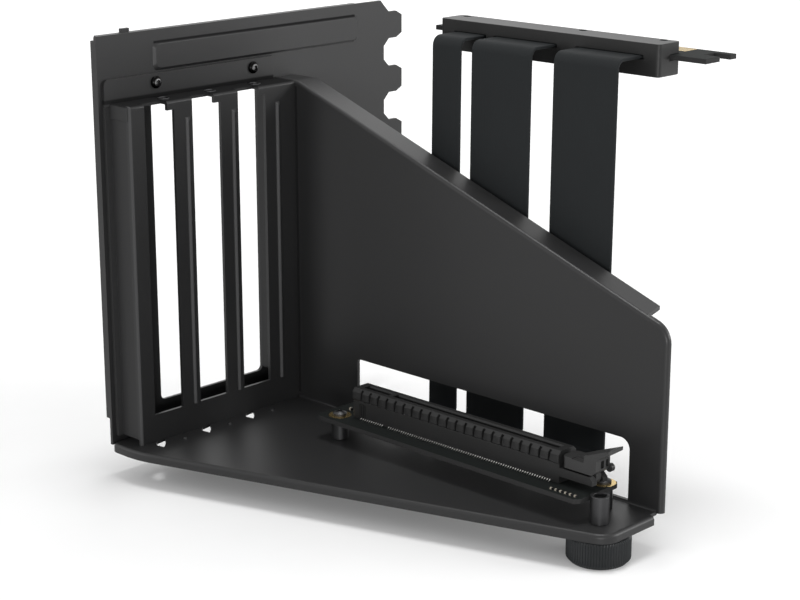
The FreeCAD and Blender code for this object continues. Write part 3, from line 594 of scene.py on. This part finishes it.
# contact tails on the board and springs inside the card slot
contacts = {"pitch": 1.0 * mm, "beforeKey": 11, "afterKey": 71, "keyGap": 3.0 * mm, "reach": 0.9 * mm,
            "firstTail": 0.18 * mm, "springAside": 1.0 * mm, "bendSteps": 5}
tailShape = {"start": (-0.1 * mm, 0.0, 0.55 * mm), "startHandle": (0.3 * mm, 0.0, 0.6 * mm),
             "endHandle": (0.15 * mm, 0.0, 0.08 * mm), "end": (0.9 * mm, 0.0, 0.08 * mm),
             "width": 0.27 * mm, "thickness": 0.14 * mm}
springShape = {"start": (0.05 * mm, 0.0, -6.5 * mm), "startHandle": (0.5 * mm, 0.0, -4.0 * mm),
               "endHandle": (0.6 * mm, 0.0, -2.6 * mm), "end": (-0.05 * mm, 0.0, -1.6 * mm),
               "width": 0.5 * mm, "thickness": 0.16 * mm}
quarterTurn = math.pi / 2


def bladeTree(name, sizes, slot):
    # a bent strip of contact metal at every point, turned about Z
    tree, sheet, given = newTree(name, sizes)
    bend = sheet.add("GeometryNodeCurvePrimitiveBezierSegment", None, {
        "Resolution": contacts["bendSteps"], "Start": given.out("start"), "End": given.out("end"),
        "Start Handle": given.out("startHandle"), "End Handle": given.out("endHandle")})
    bend = sheet.add("GeometryNodeSetCurveNormal", {"mode": "FREE"}, {"Curve": bend, "Normal": (0, 1, 0)})
    section = sheet.add("GeometryNodeCurvePrimitiveQuadrilateral", None, {
        "Width": given.out("width"), "Height": given.out("thickness")})
    strip = sheet.add("GeometryNodeCurveToMesh", None, {
        "Curve": bend, "Profile Curve": section, "Fill Caps": True})
    turn = turned(sheet, z=namedMark(sheet, "turn"))
    closeTree(sheet, stamped(sheet, given.out("Geometry"), strip, turn), slot)
    return tree


def contactRow(first):
    # places along the socket, with the gap of the key wall
    row = [first + k * contacts["pitch"] for k in range(contacts["beforeKey"])]
    restart = row[-1] + contacts["keyGap"]
    return row + [restart + k * contacts["pitch"] for k in range(contacts["afterKey"])]


def bladeRows(name, row, shape, frontY, rearY, z, frontTurn):
    # one row on each side of the socket, facing opposite ways
    places = [(x, frontY, z) for x in row] + [(x, rearY, z) for x in row]
    turns = [frontTurn] * len(row) + [-frontTurn] * len(row)
    seeds = pointMesh(name + "Points", places, marks={"turn": turns})
    return grow(name, bladeTree(name + "Blade", shape, "contact_tin"), seeds, shape)


low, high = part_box("socket_contacts")
tailRow = contactRow(low[0] + contacts["firstTail"])
tails = bladeRows("contactTails", tailRow, tailShape, low[1] + contacts["reach"],
                  high[1] - contacts["reach"], low[2], -quarterTurn)
settle(tails, "bracket", "contact_tin", "socket_contacts")
slotMiddle = (low[1] + high[1]) / 2
springs = bladeRows("contactSprings", tailRow, springShape, slotMiddle - contacts["springAside"],
                    slotMiddle + contacts["springAside"], socketHigh[2], quarterTurn)
settle(springs, "bracket", "contact_tin")
print("contacts:", 4 * len(tailRow))


# plated fingers on both faces of the plug board
finger = {"width": 0.7 * mm, "length": 7.0 * mm, "thickness": 0.05 * mm, "corner": 0.25 * mm}
fingerSteps = {"corner": 3, "join": 0.001 * mm}


def fingerTree():
    # a thin plated pad with round corners at every point
    tree, sheet, given = newTree("fingerPad", finger)
    border = sheet.add("GeometryNodeCurvePrimitiveQuadrilateral", None, {
        "Width": given.out("width"), "Height": given.out("length")})
    border = sheet.add("GeometryNodeFilletCurve", {"mode": "POLY"}, {
        "Curve": border, "Count": fingerSteps["corner"], "Radius": given.out("corner")})
    pad = sheet.add("GeometryNodeFillCurve", {"mode": "NGONS"}, {"Curve": border})
    rise = sheet.place(z=given.out("thickness"))
    top = sheet.add("GeometryNodeExtrudeMesh", None, {
        "Mesh": pad, "Offset": rise, "Offset Scale": 1.0, "Individual": False})
    under = sheet.add("GeometryNodeFlipFaces", None, {"Mesh": pad})
    solid = sheet.add("GeometryNodeJoinGeometry", None, {"Geometry": [top, under]})
    solid = sheet.add("GeometryNodeMergeByDistance", None, {
        "Geometry": solid, "Distance": fingerSteps["join"]})
    closeTree(sheet, stamped(sheet, given.out("Geometry"), solid), "contact_gold")
    return tree


low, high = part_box("plug_fingers")
along = (low[1] + high[1]) / 2
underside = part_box("plug_board")[0][2] - finger["thickness"]
fingerRow = contactRow(low[0] + finger["width"] / 2)
fingerPlaces = [(x, along, level) for x in fingerRow for level in (low[2], underside)]
fingers = grow("plugFingers", fingerTree(), pointMesh("fingerPoints", fingerPlaces), finger)
settle(fingers, "bracket", "contact_gold", "plug_fingers")


# screws: a domed head with a cut recess on a plain shank
plateScrew = {"headRadius": 2.1 * mm, "headHeight": 1.6 * mm, "sideHeight": 0.5 * mm,
              "recessRadius": 1.0 * mm, "recessDepth": 0.9 * mm, "shankRadius": 1.5 * mm,
              "shankLength": 2.4 * mm}
boardScrew = {"headRadius": 2.4 * mm, "headHeight": 1.6 * mm, "sideHeight": 0.7 * mm,
              "recessRadius": 1.25 * mm, "recessDepth": 0.8 * mm, "shankRadius": 1.45 * mm,
              "shankLength": 5.5 * mm}
plugScrew = {"headRadius": 1.25 * mm, "headHeight": 0.9 * mm, "sideHeight": 0.6 * mm,
             "recessRadius": 0.7 * mm, "recessDepth": 0.5 * mm, "shankRadius": 0.9 * mm,
             "shankLength": 1.4 * mm}
screwMake = {"headSides": 48, "domeRings": 64, "shankSides": 32, "shankLap": 0.2 * mm, "armShare": 0.5,
             "hexSides": 6, "sharpFrom": 30.0}
screwSets = {
    "plateScrews": {"nodeNames": ["plate_screw_left", "plate_screw_right"], "axis": (1.0, 0.0, 0.0),
                    "sizes": plateScrew, "sink": 0.0, "cross": False, "finish": "screw_steel"},
    "boardScrews": {"nodeNames": ["board_screw_left", "board_screw_right"], "axis": (0.0, 0.0, 1.0),
                    "sizes": boardScrew, "sink": 0.0, "cross": True, "finish": "dark_steel"},
    "plugScrews": {"nodeNames": ["plug_screw_left", "plug_screw_middle", "plug_screw_right"],
                   "axis": (0.0, 0.0, 1.0), "sizes": plugScrew, "sink": 0.5 * mm, "cross": True,
                   "finish": "moulded_black"},
}


def joined(sheet, operation, inputs):
    return sheet.add("GeometryNodeMeshBoolean", {"operation": operation, "solver": "EXACT"}, inputs)


def cylinder(sheet, sides, radius, depth):
    return sheet.add("GeometryNodeMeshCylinder", None, {"Vertices": sides, "Radius": radius, "Depth": depth})


def screwHead(sheet, given):
    # the part of a ball that lies inside the head's round wall
    radius, height = given.out("headRadius"), given.out("headHeight")
    crown = height - given.out("sideHeight")
    ball = (radius * radius + crown * crown) / (2 * crown)
    dome = sheet.add("GeometryNodeMeshUVSphere", None, {
        "Segments": screwMake["headSides"], "Rings": screwMake["domeRings"], "Radius": ball})
    dome = sheet.moved(dome, z=height - ball)
    wall = sheet.moved(cylinder(sheet, screwMake["headSides"], radius, 2 * height), z=height)
    return joined(sheet, "INTERSECT", {"Mesh 2": [dome, wall]})


def screwRecess(sheet, given, cross):
    # a cross of two bars, or a hexagon
    reach, depth = given.out("recessRadius"), given.out("recessDepth")
    if not cross:
        return cylinder(sheet, screwMake["hexSides"], reach, 2 * depth)
    arm = reach * screwMake["armShare"]
    bars = [sheet.add("GeometryNodeMeshCube", None, {"Size": sheet.place(x, y, 2 * depth)})
            for x, y in ((2 * reach, arm), (arm, 2 * reach))]
    return joined(sheet, "UNION", {"Mesh 2": bars})


def screwTree(name, sizes, cross, finish):
    # a screw at every point, pointing along that point's axis
    tree, sheet, given = newTree(name, sizes)
    lap, length = screwMake["shankLap"], given.out("shankLength")
    shank = cylinder(sheet, screwMake["shankSides"], given.out("shankRadius"), length + lap)
    shank = sheet.moved(shank, z=lap / 2 - length * 0.5)
    solid = joined(sheet, "UNION", {"Mesh 2": [screwHead(sheet, given), shank]})
    recess = sheet.moved(screwRecess(sheet, given, cross), z=given.out("headHeight"))
    solid = joined(sheet, "DIFFERENCE", {"Mesh 1": solid, "Mesh 2": recess})
    aim = sheet.add("FunctionNodeAlignRotationToVector", {"axis": "Z"}, {
        "Vector": namedMark(sheet, "axis", "FLOAT_VECTOR")})
    closeTree(sheet, stamped(sheet, given.out("Geometry"), solid, aim), finish)
    return tree


def screwSet(name, nodeNames, axis, sizes, sink, cross, finish):
    # seats each head under the top of its own solid, lowered by sink
    places = []
    direction = Vector(axis)
    for node in nodeNames:
        low, high = (Vector(corner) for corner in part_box(node))
        top = (low + high) / 2 + direction * (high - low).dot(direction) / 2
        places.append(top - direction * (sizes["headHeight"] + sink))
    seeds = pointMesh(name + "Points", places, marks={"axis": [axis] * len(places)})
    tree = screwTree(name + "Tree", sizes, cross, finish)
    piece = grow(name, tree, seeds, sizes, sharpFrom=screwMake["sharpFrom"])
    settle(cleaned(piece), "bracket", slotOf[nodeNames[0]], *nodeNames)


for name, screws in screwSets.items():
    screwSet(name, **screws)
print("screws:", sum(len(screws["nodeNames"]) for screws in screwSets.values()))


# small chip parts: a row at the board's right end, and a wider pair by the left post
smallChip = {"length": 1.3 * mm, "width": 0.75 * mm, "height": 0.6 * mm, "endShare": 0.24, "bodyShare": 0.92}
wideChip = {"length": 1.5 * mm, "width": 1.0 * mm, "height": 0.9 * mm, "endShare": 0.24, "bodyShare": 0.92}
smallRow = {"count": 6, "pitch": 1.9 * mm, "fromRight": 12.5 * mm, "fromFront": 1.6 * mm}
wideRow = {"count": 2, "pitch": 2.2 * mm, "lead": 1.6 * mm, "fromPost": 5.6 * mm}


def chipBodyTree(name, sizes):
    # ceramic bodies, a little slimmer than their caps
    tree, sheet, given = newTree(name, sizes)
    long, share = given.out("length"), given.out("bodyShare")
    wide, tall = given.out("width") * share, given.out("height") * share
    size = sheet.place(long - long * given.out("endShare"), wide, tall)
    body = sheet.moved(sheet.add("GeometryNodeMeshCube", None, {"Size": size}), z=tall * 0.5)
    closeTree(sheet, stamped(sheet, given.out("Geometry"), body), "chip_grey")
    return tree


def chipEndTree(name, sizes):
    # the two solder caps that wrap a body's ends
    tree, sheet, given = newTree(name, sizes)
    long, tall = given.out("length"), given.out("height")
    cap = long * given.out("endShare")
    block = sheet.add("GeometryNodeMeshCube", None, {"Size": sheet.place(cap, given.out("width"), tall)})
    pair = [sheet.moved(block, x=(long - cap) * side, z=tall * 0.5) for side in (-0.5, 0.5)]
    caps = sheet.add("GeometryNodeJoinGeometry", None, {"Geometry": pair})
    closeTree(sheet, stamped(sheet, given.out("Geometry"), caps), "dark_steel")
    return tree


def chipRow(sizes, row, left, front):
    return [(left + k * row["pitch"] + sizes["length"] / 2, front + sizes["width"] / 2, boardHigh[2])
            for k in range(row["count"])]


boardLow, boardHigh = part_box("riser_board")
postLow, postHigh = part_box("board_post_left")
postX, postY = (postLow[0] + postHigh[0]) / 2, (postLow[1] + postHigh[1]) / 2
smallPlaces = chipRow(smallChip, smallRow, boardHigh[0] - smallRow["fromRight"],
                      boardLow[1] + smallRow["fromFront"])
widePlaces = chipRow(wideChip, wideRow, postX - wideRow["lead"], postY + wideRow["fromPost"])
for word, sizes, places in (("small", smallChip, smallPlaces), ("wide", wideChip, widePlaces)):
    bodies = grow(word + "ChipBodies", chipBodyTree(word + "Body", sizes),
                  pointMesh(word + "BodyPoints", places), sizes)
    caps = grow(word + "ChipEnds", chipEndTree(word + "End", sizes),
                pointMesh(word + "EndPoints", places), sizes)
    settle(bodies, "bracket", "chip_grey", *(["board_chips"] if word == "small" else []))
    settle(caps, "bracket", "dark_steel")
print("chips:", len(smallPlaces) + len(widePlaces))


# flat ribbons, from under the board, up behind the panel and back into the plug
flatCable = {"width": 0.0, "thickness": 1.0 * mm, "edge": 0.42 * mm}
cableRoute = {"setback": 14.0 * mm, "lowBend": 1.4 * mm, "highBend": 2.9 * mm, "lean": 1.0 * mm,
              "bendSteps": 10, "edgeSteps": 4, "sharpFrom": 50.0}


def ribbonTree():
    # a flat round-edged section swept along a line with a bend radius at each corner
    tree, sheet, given = newTree("ribbonSweep", flatCable)
    route = sheet.add("GeometryNodeMeshToCurve", None, {0: given.out("Geometry")})
    route = sheet.add("GeometryNodeFilletCurve", {"mode": "POLY"}, {
        "Curve": route, "Count": cableRoute["bendSteps"], "Radius": namedMark(sheet, "bend")})
    route = sheet.add("GeometryNodeSetCurveNormal", {"mode": "FREE"}, {"Curve": route, "Normal": (1, 0, 0)})
    section = sheet.add("GeometryNodeCurvePrimitiveQuadrilateral", None, {
        "Width": given.out("width"), "Height": given.out("thickness")})
    section = sheet.add("GeometryNodeFilletCurve", {"mode": "POLY"}, {
        "Curve": section, "Count": cableRoute["edgeSteps"], "Radius": given.out("edge")})
    sweep = sheet.add("GeometryNodeCurveToMesh", None, {
        "Curve": route, "Profile Curve": section, "Fill Caps": True})
    closeTree(sheet, sweep, "ribbon_jacket")
    return tree


def ribbon(node, tree):
    low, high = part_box(node)
    half = flatCable["thickness"] / 2
    head = (low[0] + high[0]) / 2
    foot = head - cableRoute["lean"]
    upright = panelFace + cableRoute["setback"]
    stops = [(foot, low[1], low[2] + half), (foot, upright, low[2] + half),
             (head, upright, high[2] - half), (head, high[1], high[2] - half)]
    bends = [0.0, cableRoute["lowBend"], cableRoute["highBend"], 0.0]
    line = pointMesh(node + "Line", stops, [(0, 1), (1, 2), (2, 3)], {"bend": bends})
    sizes = {**flatCable, "width": high[0] - low[0]}
    piece = grow(node + "_swept", tree, line, sizes, sharpFrom=cableRoute["sharpFrom"])
    settle(piece, "bracket", "ribbon_jacket", node)


ribbonNodes = ("ribbon_narrow", "ribbon_middle", "ribbon_end")
ribbonSweep = ribbonTree()
for node in ribbonNodes:
    ribbon(node, ribbonSweep)
print("ribbons:", len(ribbonNodes))


# the foot's knurled knob, turned from a profile
knob = {"ridges": 68, "ridgeDepth": 0.3 * mm, "place": (0.0, 0.0, 0.0)}
knobForm = {"bevel": 1.1 * mm, "bevelLead": 0.05 * mm, "bevelRise": 1.25, "topBreak": 0.35 * mm,
            "topDrop": 0.1 * mm, "hubRadius": 5.0 * mm, "hubBreak": 0.2 * mm, "gripHeight": 8.6 * mm,
            "boreRadius": 2.06 * mm, "boreDepth": 6.0 * mm, "dish": 0.8 * mm, "dishInner": 0.62,
            "dishOuter": 0.66, "sharpFrom": 25.0}


def latheTree(name, sizes, slot):
    # turns a profile line about Z, with a groove at every second column where the profile is marked
    tree, sheet, given = newTree(name, sizes)
    profile = given.out("Geometry")
    stops = sheet.add("GeometryNodeAttributeDomainSize", None, {0: profile})
    columns = given.out("ridges") * 2
    grid = sheet.add("GeometryNodeMeshGrid", None, {"Vertices X": columns + 1, "Vertices Y": stops})
    index = sheet.add("GeometryNodeInputIndex")
    step = index % stops
    column = index // stops
    corner = sheet.add("GeometryNodeSampleIndex", {"data_type": "FLOAT_VECTOR"}, {
        "Geometry": profile, "Value": sheet.add("GeometryNodeInputPosition"), "Index": step})
    marked = sheet.add("GeometryNodeSampleIndex", {"data_type": "FLOAT"}, {
        "Geometry": profile, "Value": namedMark(sheet, "ridge"), "Index": step})
    angle = column * (2 * math.pi) / columns
    radius = sheet.axis(corner, "X") - marked * given.out("ridgeDepth") * (column % 2)
    spot = sheet.place(radius * angle.calc("COSINE"), radius * angle.calc("SINE"), sheet.axis(corner, "Z"))
    body = sheet.add("GeometryNodeSetPosition", None, {"Geometry": grid, "Position": spot})
    body = sheet.add("GeometryNodeMergeByDistance", None, {"Geometry": body, "Distance": mergeReach})
    closeTree(sheet, sheet.carried(body, given.out("place")), slot)
    return tree


def knobProfile(grip, full):
    # radius, height and whether the knurl shows: from the dished underside, up the grip and into the bore
    bevel, topBreak, dish = knobForm["bevel"], knobForm["topBreak"], knobForm["dish"]
    top, hub, bore = knobForm["gripHeight"], knobForm["hubRadius"], knobForm["boreRadius"]
    boreFloor = full - knobForm["boreDepth"]
    return [
        (0.0, dish, 0), (grip * knobForm["dishInner"], dish, 0), (grip * knobForm["dishOuter"], 0.0, 0),
        (grip - bevel, 0.0, 0), (grip - knobForm["bevelLead"], bevel, 1),
        (grip, bevel * knobForm["bevelRise"], 1), (grip, top - topBreak * 2, 1),
        (grip - topBreak, top - knobForm["topDrop"], 1), (grip - topBreak * 2, top, 0), (hub, top, 0),
        (hub, full - knobForm["hubBreak"], 0), (hub - knobForm["hubBreak"], full, 0),
        (bore, full, 0), (bore, boreFloor, 0), (0.0, boreFloor, 0)]


low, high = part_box("foot_knob")
profile = knobProfile((high[0] - low[0]) / 2, high[2] - low[2])
knobLine = pointMesh("knobProfile", [(radius, 0.0, z) for radius, z, mark in profile],
                     [(k, k + 1) for k in range(len(profile) - 1)],
                     {"ridge": [float(mark) for radius, z, mark in profile]})
knobSizes = {**knob, "place": ((low[0] + high[0]) / 2, (low[1] + high[1]) / 2, low[2])}
knobPiece = grow("footKnob", latheTree("knurledKnob", knob, "knob_grey"), knobLine, knobSizes,
                 sharpFrom=knobForm["sharpFrom"])
settle(knobPiece, bodyOf["foot_knob"], "knob_grey", "foot_knob")


# the foot's threaded stud
stud = {"radius": 2.0 * mm, "pitch": 0.7 * mm, "depth": 0.38 * mm, "height": 0.0, "place": (0.0, 0.0, 0.0)}
studForm = {"sides": 32, "turnSteps": 24, "plainPitches": 1.4, "toothSides": 4}


def threadTree():
    # a core rod with a pointed thread wound round it
    tree, sheet, given = newTree("studThread", stud)
    depth, height, pitch = (given.out(key) for key in ("depth", "height", "pitch"))
    root = given.out("radius") - depth
    core = cylinder(sheet, studForm["sides"], root, height)
    turns = (height - pitch * studForm["plainPitches"]) / pitch
    helix = sheet.add("GeometryNodeCurveSpiral", None, {
        "Resolution": studForm["turnSteps"], "Rotations": turns, "Start Radius": root, "End Radius": root,
        "Height": turns * pitch})
    helix = sheet.add("GeometryNodeSetCurveNormal", {"mode": "Z_UP"}, {"Curve": helix})
    tooth = sheet.add("GeometryNodeCurvePrimitiveCircle", None, {
        "Resolution": studForm["toothSides"], "Radius": depth})
    thread = sheet.add("GeometryNodeCurveToMesh", None, {
        "Curve": helix, "Profile Curve": tooth, "Fill Caps": True})
    thread = sheet.moved(thread, z=turns * pitch * -0.5)
    both = sheet.add("GeometryNodeJoinGeometry", None, {"Geometry": [core, thread]})
    closeTree(sheet, sheet.carried(both, given.out("place")), "dark_steel")
    return tree


low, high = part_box("foot_stud")
studMiddle = tuple((a + b) / 2 for a, b in zip(low, high))
studSizes = {**stud, "height": high[2] - low[2], "place": studMiddle}
studPiece = grow("footStud", threadTree(), pointMesh("studPoint", [studMiddle]), studSizes)
settle(studPiece, bodyOf["foot_stud"], "dark_steel", "foot_stud")


# rolled rims of the card screw holes on the ledge
holeRim = {"rimRadius": 1.85 * mm, "bead": 0.28 * mm}
rimForm = {"ringSteps": 36, "beadSteps": 8, "sharpFrom": 60.0}
ledge = {"height": 116.4 * mm, "holeFromPlate": 5.4 * mm, "firstHole": 21.1 * mm}


def rimTree():
    # a rolled bead round each threaded hole
    tree, sheet, given = newTree("holeRim", holeRim)
    ring = sheet.add("GeometryNodeCurvePrimitiveCircle", None, {
        "Resolution": rimForm["ringSteps"], "Radius": given.out("rimRadius")})
    bead = sheet.add("GeometryNodeCurvePrimitiveCircle", None, {
        "Resolution": rimForm["beadSteps"], "Radius": given.out("bead")})
    rim = sheet.add("GeometryNodeCurveToMesh", None, {"Curve": ring, "Profile Curve": bead})
    closeTree(sheet, stamped(sheet, given.out("Geometry"), rim), "dark_steel")
    return tree


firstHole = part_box("slot_bracket")[0][1] + ledge["firstHole"]
rimPlaces = [(plateFace + ledge["holeFromPlate"], firstHole + k * slotPitch, baseTop + ledge["height"])
             for k in range(slotCount)]
rims = grow("cardHoleRims", rimTree(), pointMesh("rimPoints", rimPlaces), holeRim,
            sharpFrom=rimForm["sharpFrom"])
settle(rims, "bracket", "dark_steel")
print("foot and hole rims ready")


# soft studio light, a white floor and a white world
studio = {
    "aim": (0.0, 0.0, 0.05),
    "worldLight": 0.55,
    "lamps": {
        "overhead": {"place": (-0.06, 0.08, 1.3), "size": 0.42, "power": 7.5},
        "frontLeft": {"place": (-0.75, -0.85, 0.6), "size": 0.7, "power": 2.2},
        "lowFront": {"place": (0.88, -0.92, 0.12), "size": 0.25, "power": 5.5},
        "backRight": {"place": (0.95, 0.85, 0.45), "size": 0.6, "power": 8.0},
        "backLeft": {"place": (-0.6, 0.6, 0.75), "size": 0.5, "power": 1.0},
    },
}
floorLook = {"low": (0.80, 0.80, 0.80), "high": (0.82, 0.82, 0.82), "speckleScale": 40.0, "halfWidth": 6.0,
             "glowLeast": 0.1, "glowMost": 0.7, "behindFrom": 0.1, "roundFrom": 0.6, "glowFar": 1.6,
             "farSide": (-0.69, 0.72, 0.0)}


def seenRay(sheet):
    # rays whose white background shows: from the camera, or in gloss and glass
    path = sheet.add("ShaderNodeLightPath")
    anySeen = path.out("Is Camera Ray") + path.out("Is Glossy Ray") + path.out("Is Transmission Ray")
    return anySeen.calc("MINIMUM", 1.0)


def areaLamp(name, look):
    lamp = bpy.data.lights.new(name, "AREA")
    lamp.shape = "DISK"
    lamp.size = look["size"]
    lamp.energy = look["power"]
    item = bpy.data.objects.new(name, lamp)
    item.location = look["place"]
    view = Vector(studio["aim"]) - Vector(look["place"])
    item.rotation_euler = view.to_track_quat("-Z", "Y").to_euler()
    item.visible_camera = False
    bpy.context.scene.collection.objects.link(item)


def glowFrom(sheet, reach, start):
    return sheet.add("ShaderNodeMapRange", {"interpolation_type": "SMOOTHSTEP"}, {
        "Value": reach, "From Min": start, "From Max": floorLook["glowFar"],
        "To Min": floorLook["glowLeast"], "To Max": floorLook["glowMost"]})


def floorMaterial():
    # matte, with a glow that only seen rays meet, growing behind the part and far round it
    material, sheet = newMaterial("floorWhite")
    spot = sheet.add("ShaderNodeTexCoord").out("Object")
    speckle = sheet.add("ShaderNodeTexNoise", None, {"Vector": spot, "Scale": floorLook["speckleScale"]})
    tone = mixTone(sheet, speckle, opaque(floorLook["low"]), opaque(floorLook["high"]))
    behind = sheet.add("ShaderNodeVectorMath", {"operation": "DOT_PRODUCT"}, {
        0: spot, 1: floorLook["farSide"]})
    around = sheet.add("ShaderNodeVectorMath", {"operation": "LENGTH"}, {0: spot})
    glow = glowFrom(sheet, behind.out("Value"), floorLook["behindFrom"])
    glow = glow.calc("MAXIMUM", glowFrom(sheet, around.out("Value"), floorLook["roundFrom"]))
    shader = sheet.add("ShaderNodeBsdfPrincipled", None, {
        "Base Color": tone, "Roughness": 1.0, "Specular IOR Level": 0.0,
        "Emission Color": glow, "Emission Strength": seenRay(sheet)})
    closeMaterial(sheet, shader)
    return material


def layFloor():
    bm = bmesh.new()
    bmesh.ops.create_grid(bm, x_segments=1, y_segments=1, size=floorLook["halfWidth"])
    mesh = bpy.data.meshes.new("floor")
    bm.to_mesh(mesh)
    bm.free()
    mesh.materials.append(floorMaterial())
    floor = link("floor", mesh)
    floor.location.z = cadBox[0][2]
    floor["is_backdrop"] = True


def lightWorld():
    world = bpy.data.worlds.new("studioWorld")
    bpy.context.scene.world = world
    world.use_nodes = True
    world.node_tree.nodes.clear()
    sheet = NodeSheet(world.node_tree)
    seen = seenRay(sheet)
    sky = sheet.add("ShaderNodeBackground", None, {
        "Color": opaque((1.0, 1.0, 1.0)), "Strength": seen + (1 - seen) * studio["worldLight"]})
    sheet.add("ShaderNodeOutputWorld", None, {"Surface": sky})


for lampName, lampLook in studio["lamps"].items():
    areaLamp(lampName + "Lamp", lampLook)
layFloor()
lightWorld()
print("studio ready")


# the photograph's viewpoint
camera = {"place": (0.41382, -0.44971, 0.23802), "turn": 43.8, "pitch": 15.85, "lens": 86.41,
          "sensor": 36.0, "clipStart": 0.01}
lens = bpy.data.cameras.new("photoCamera")
lens.lens = camera["lens"]
lens.sensor_width = camera["sensor"]
lens.sensor_fit = "HORIZONTAL"
lens.clip_start = camera["clipStart"]
eye = bpy.data.objects.new("photoCamera", lens)
eye.location = camera["place"]
eye.rotation_euler = (math.radians(90 - camera["pitch"]), 0, math.radians(camera["turn"]))
bpy.context.scene.collection.objects.link(eye)
bpy.context.scene.camera = eye
bpy.context.scene.view_settings.view_transform = "Standard"

sizes = {"cad": [list(corner) for corner in cadBox], "visual": [list(corner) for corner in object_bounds()]}
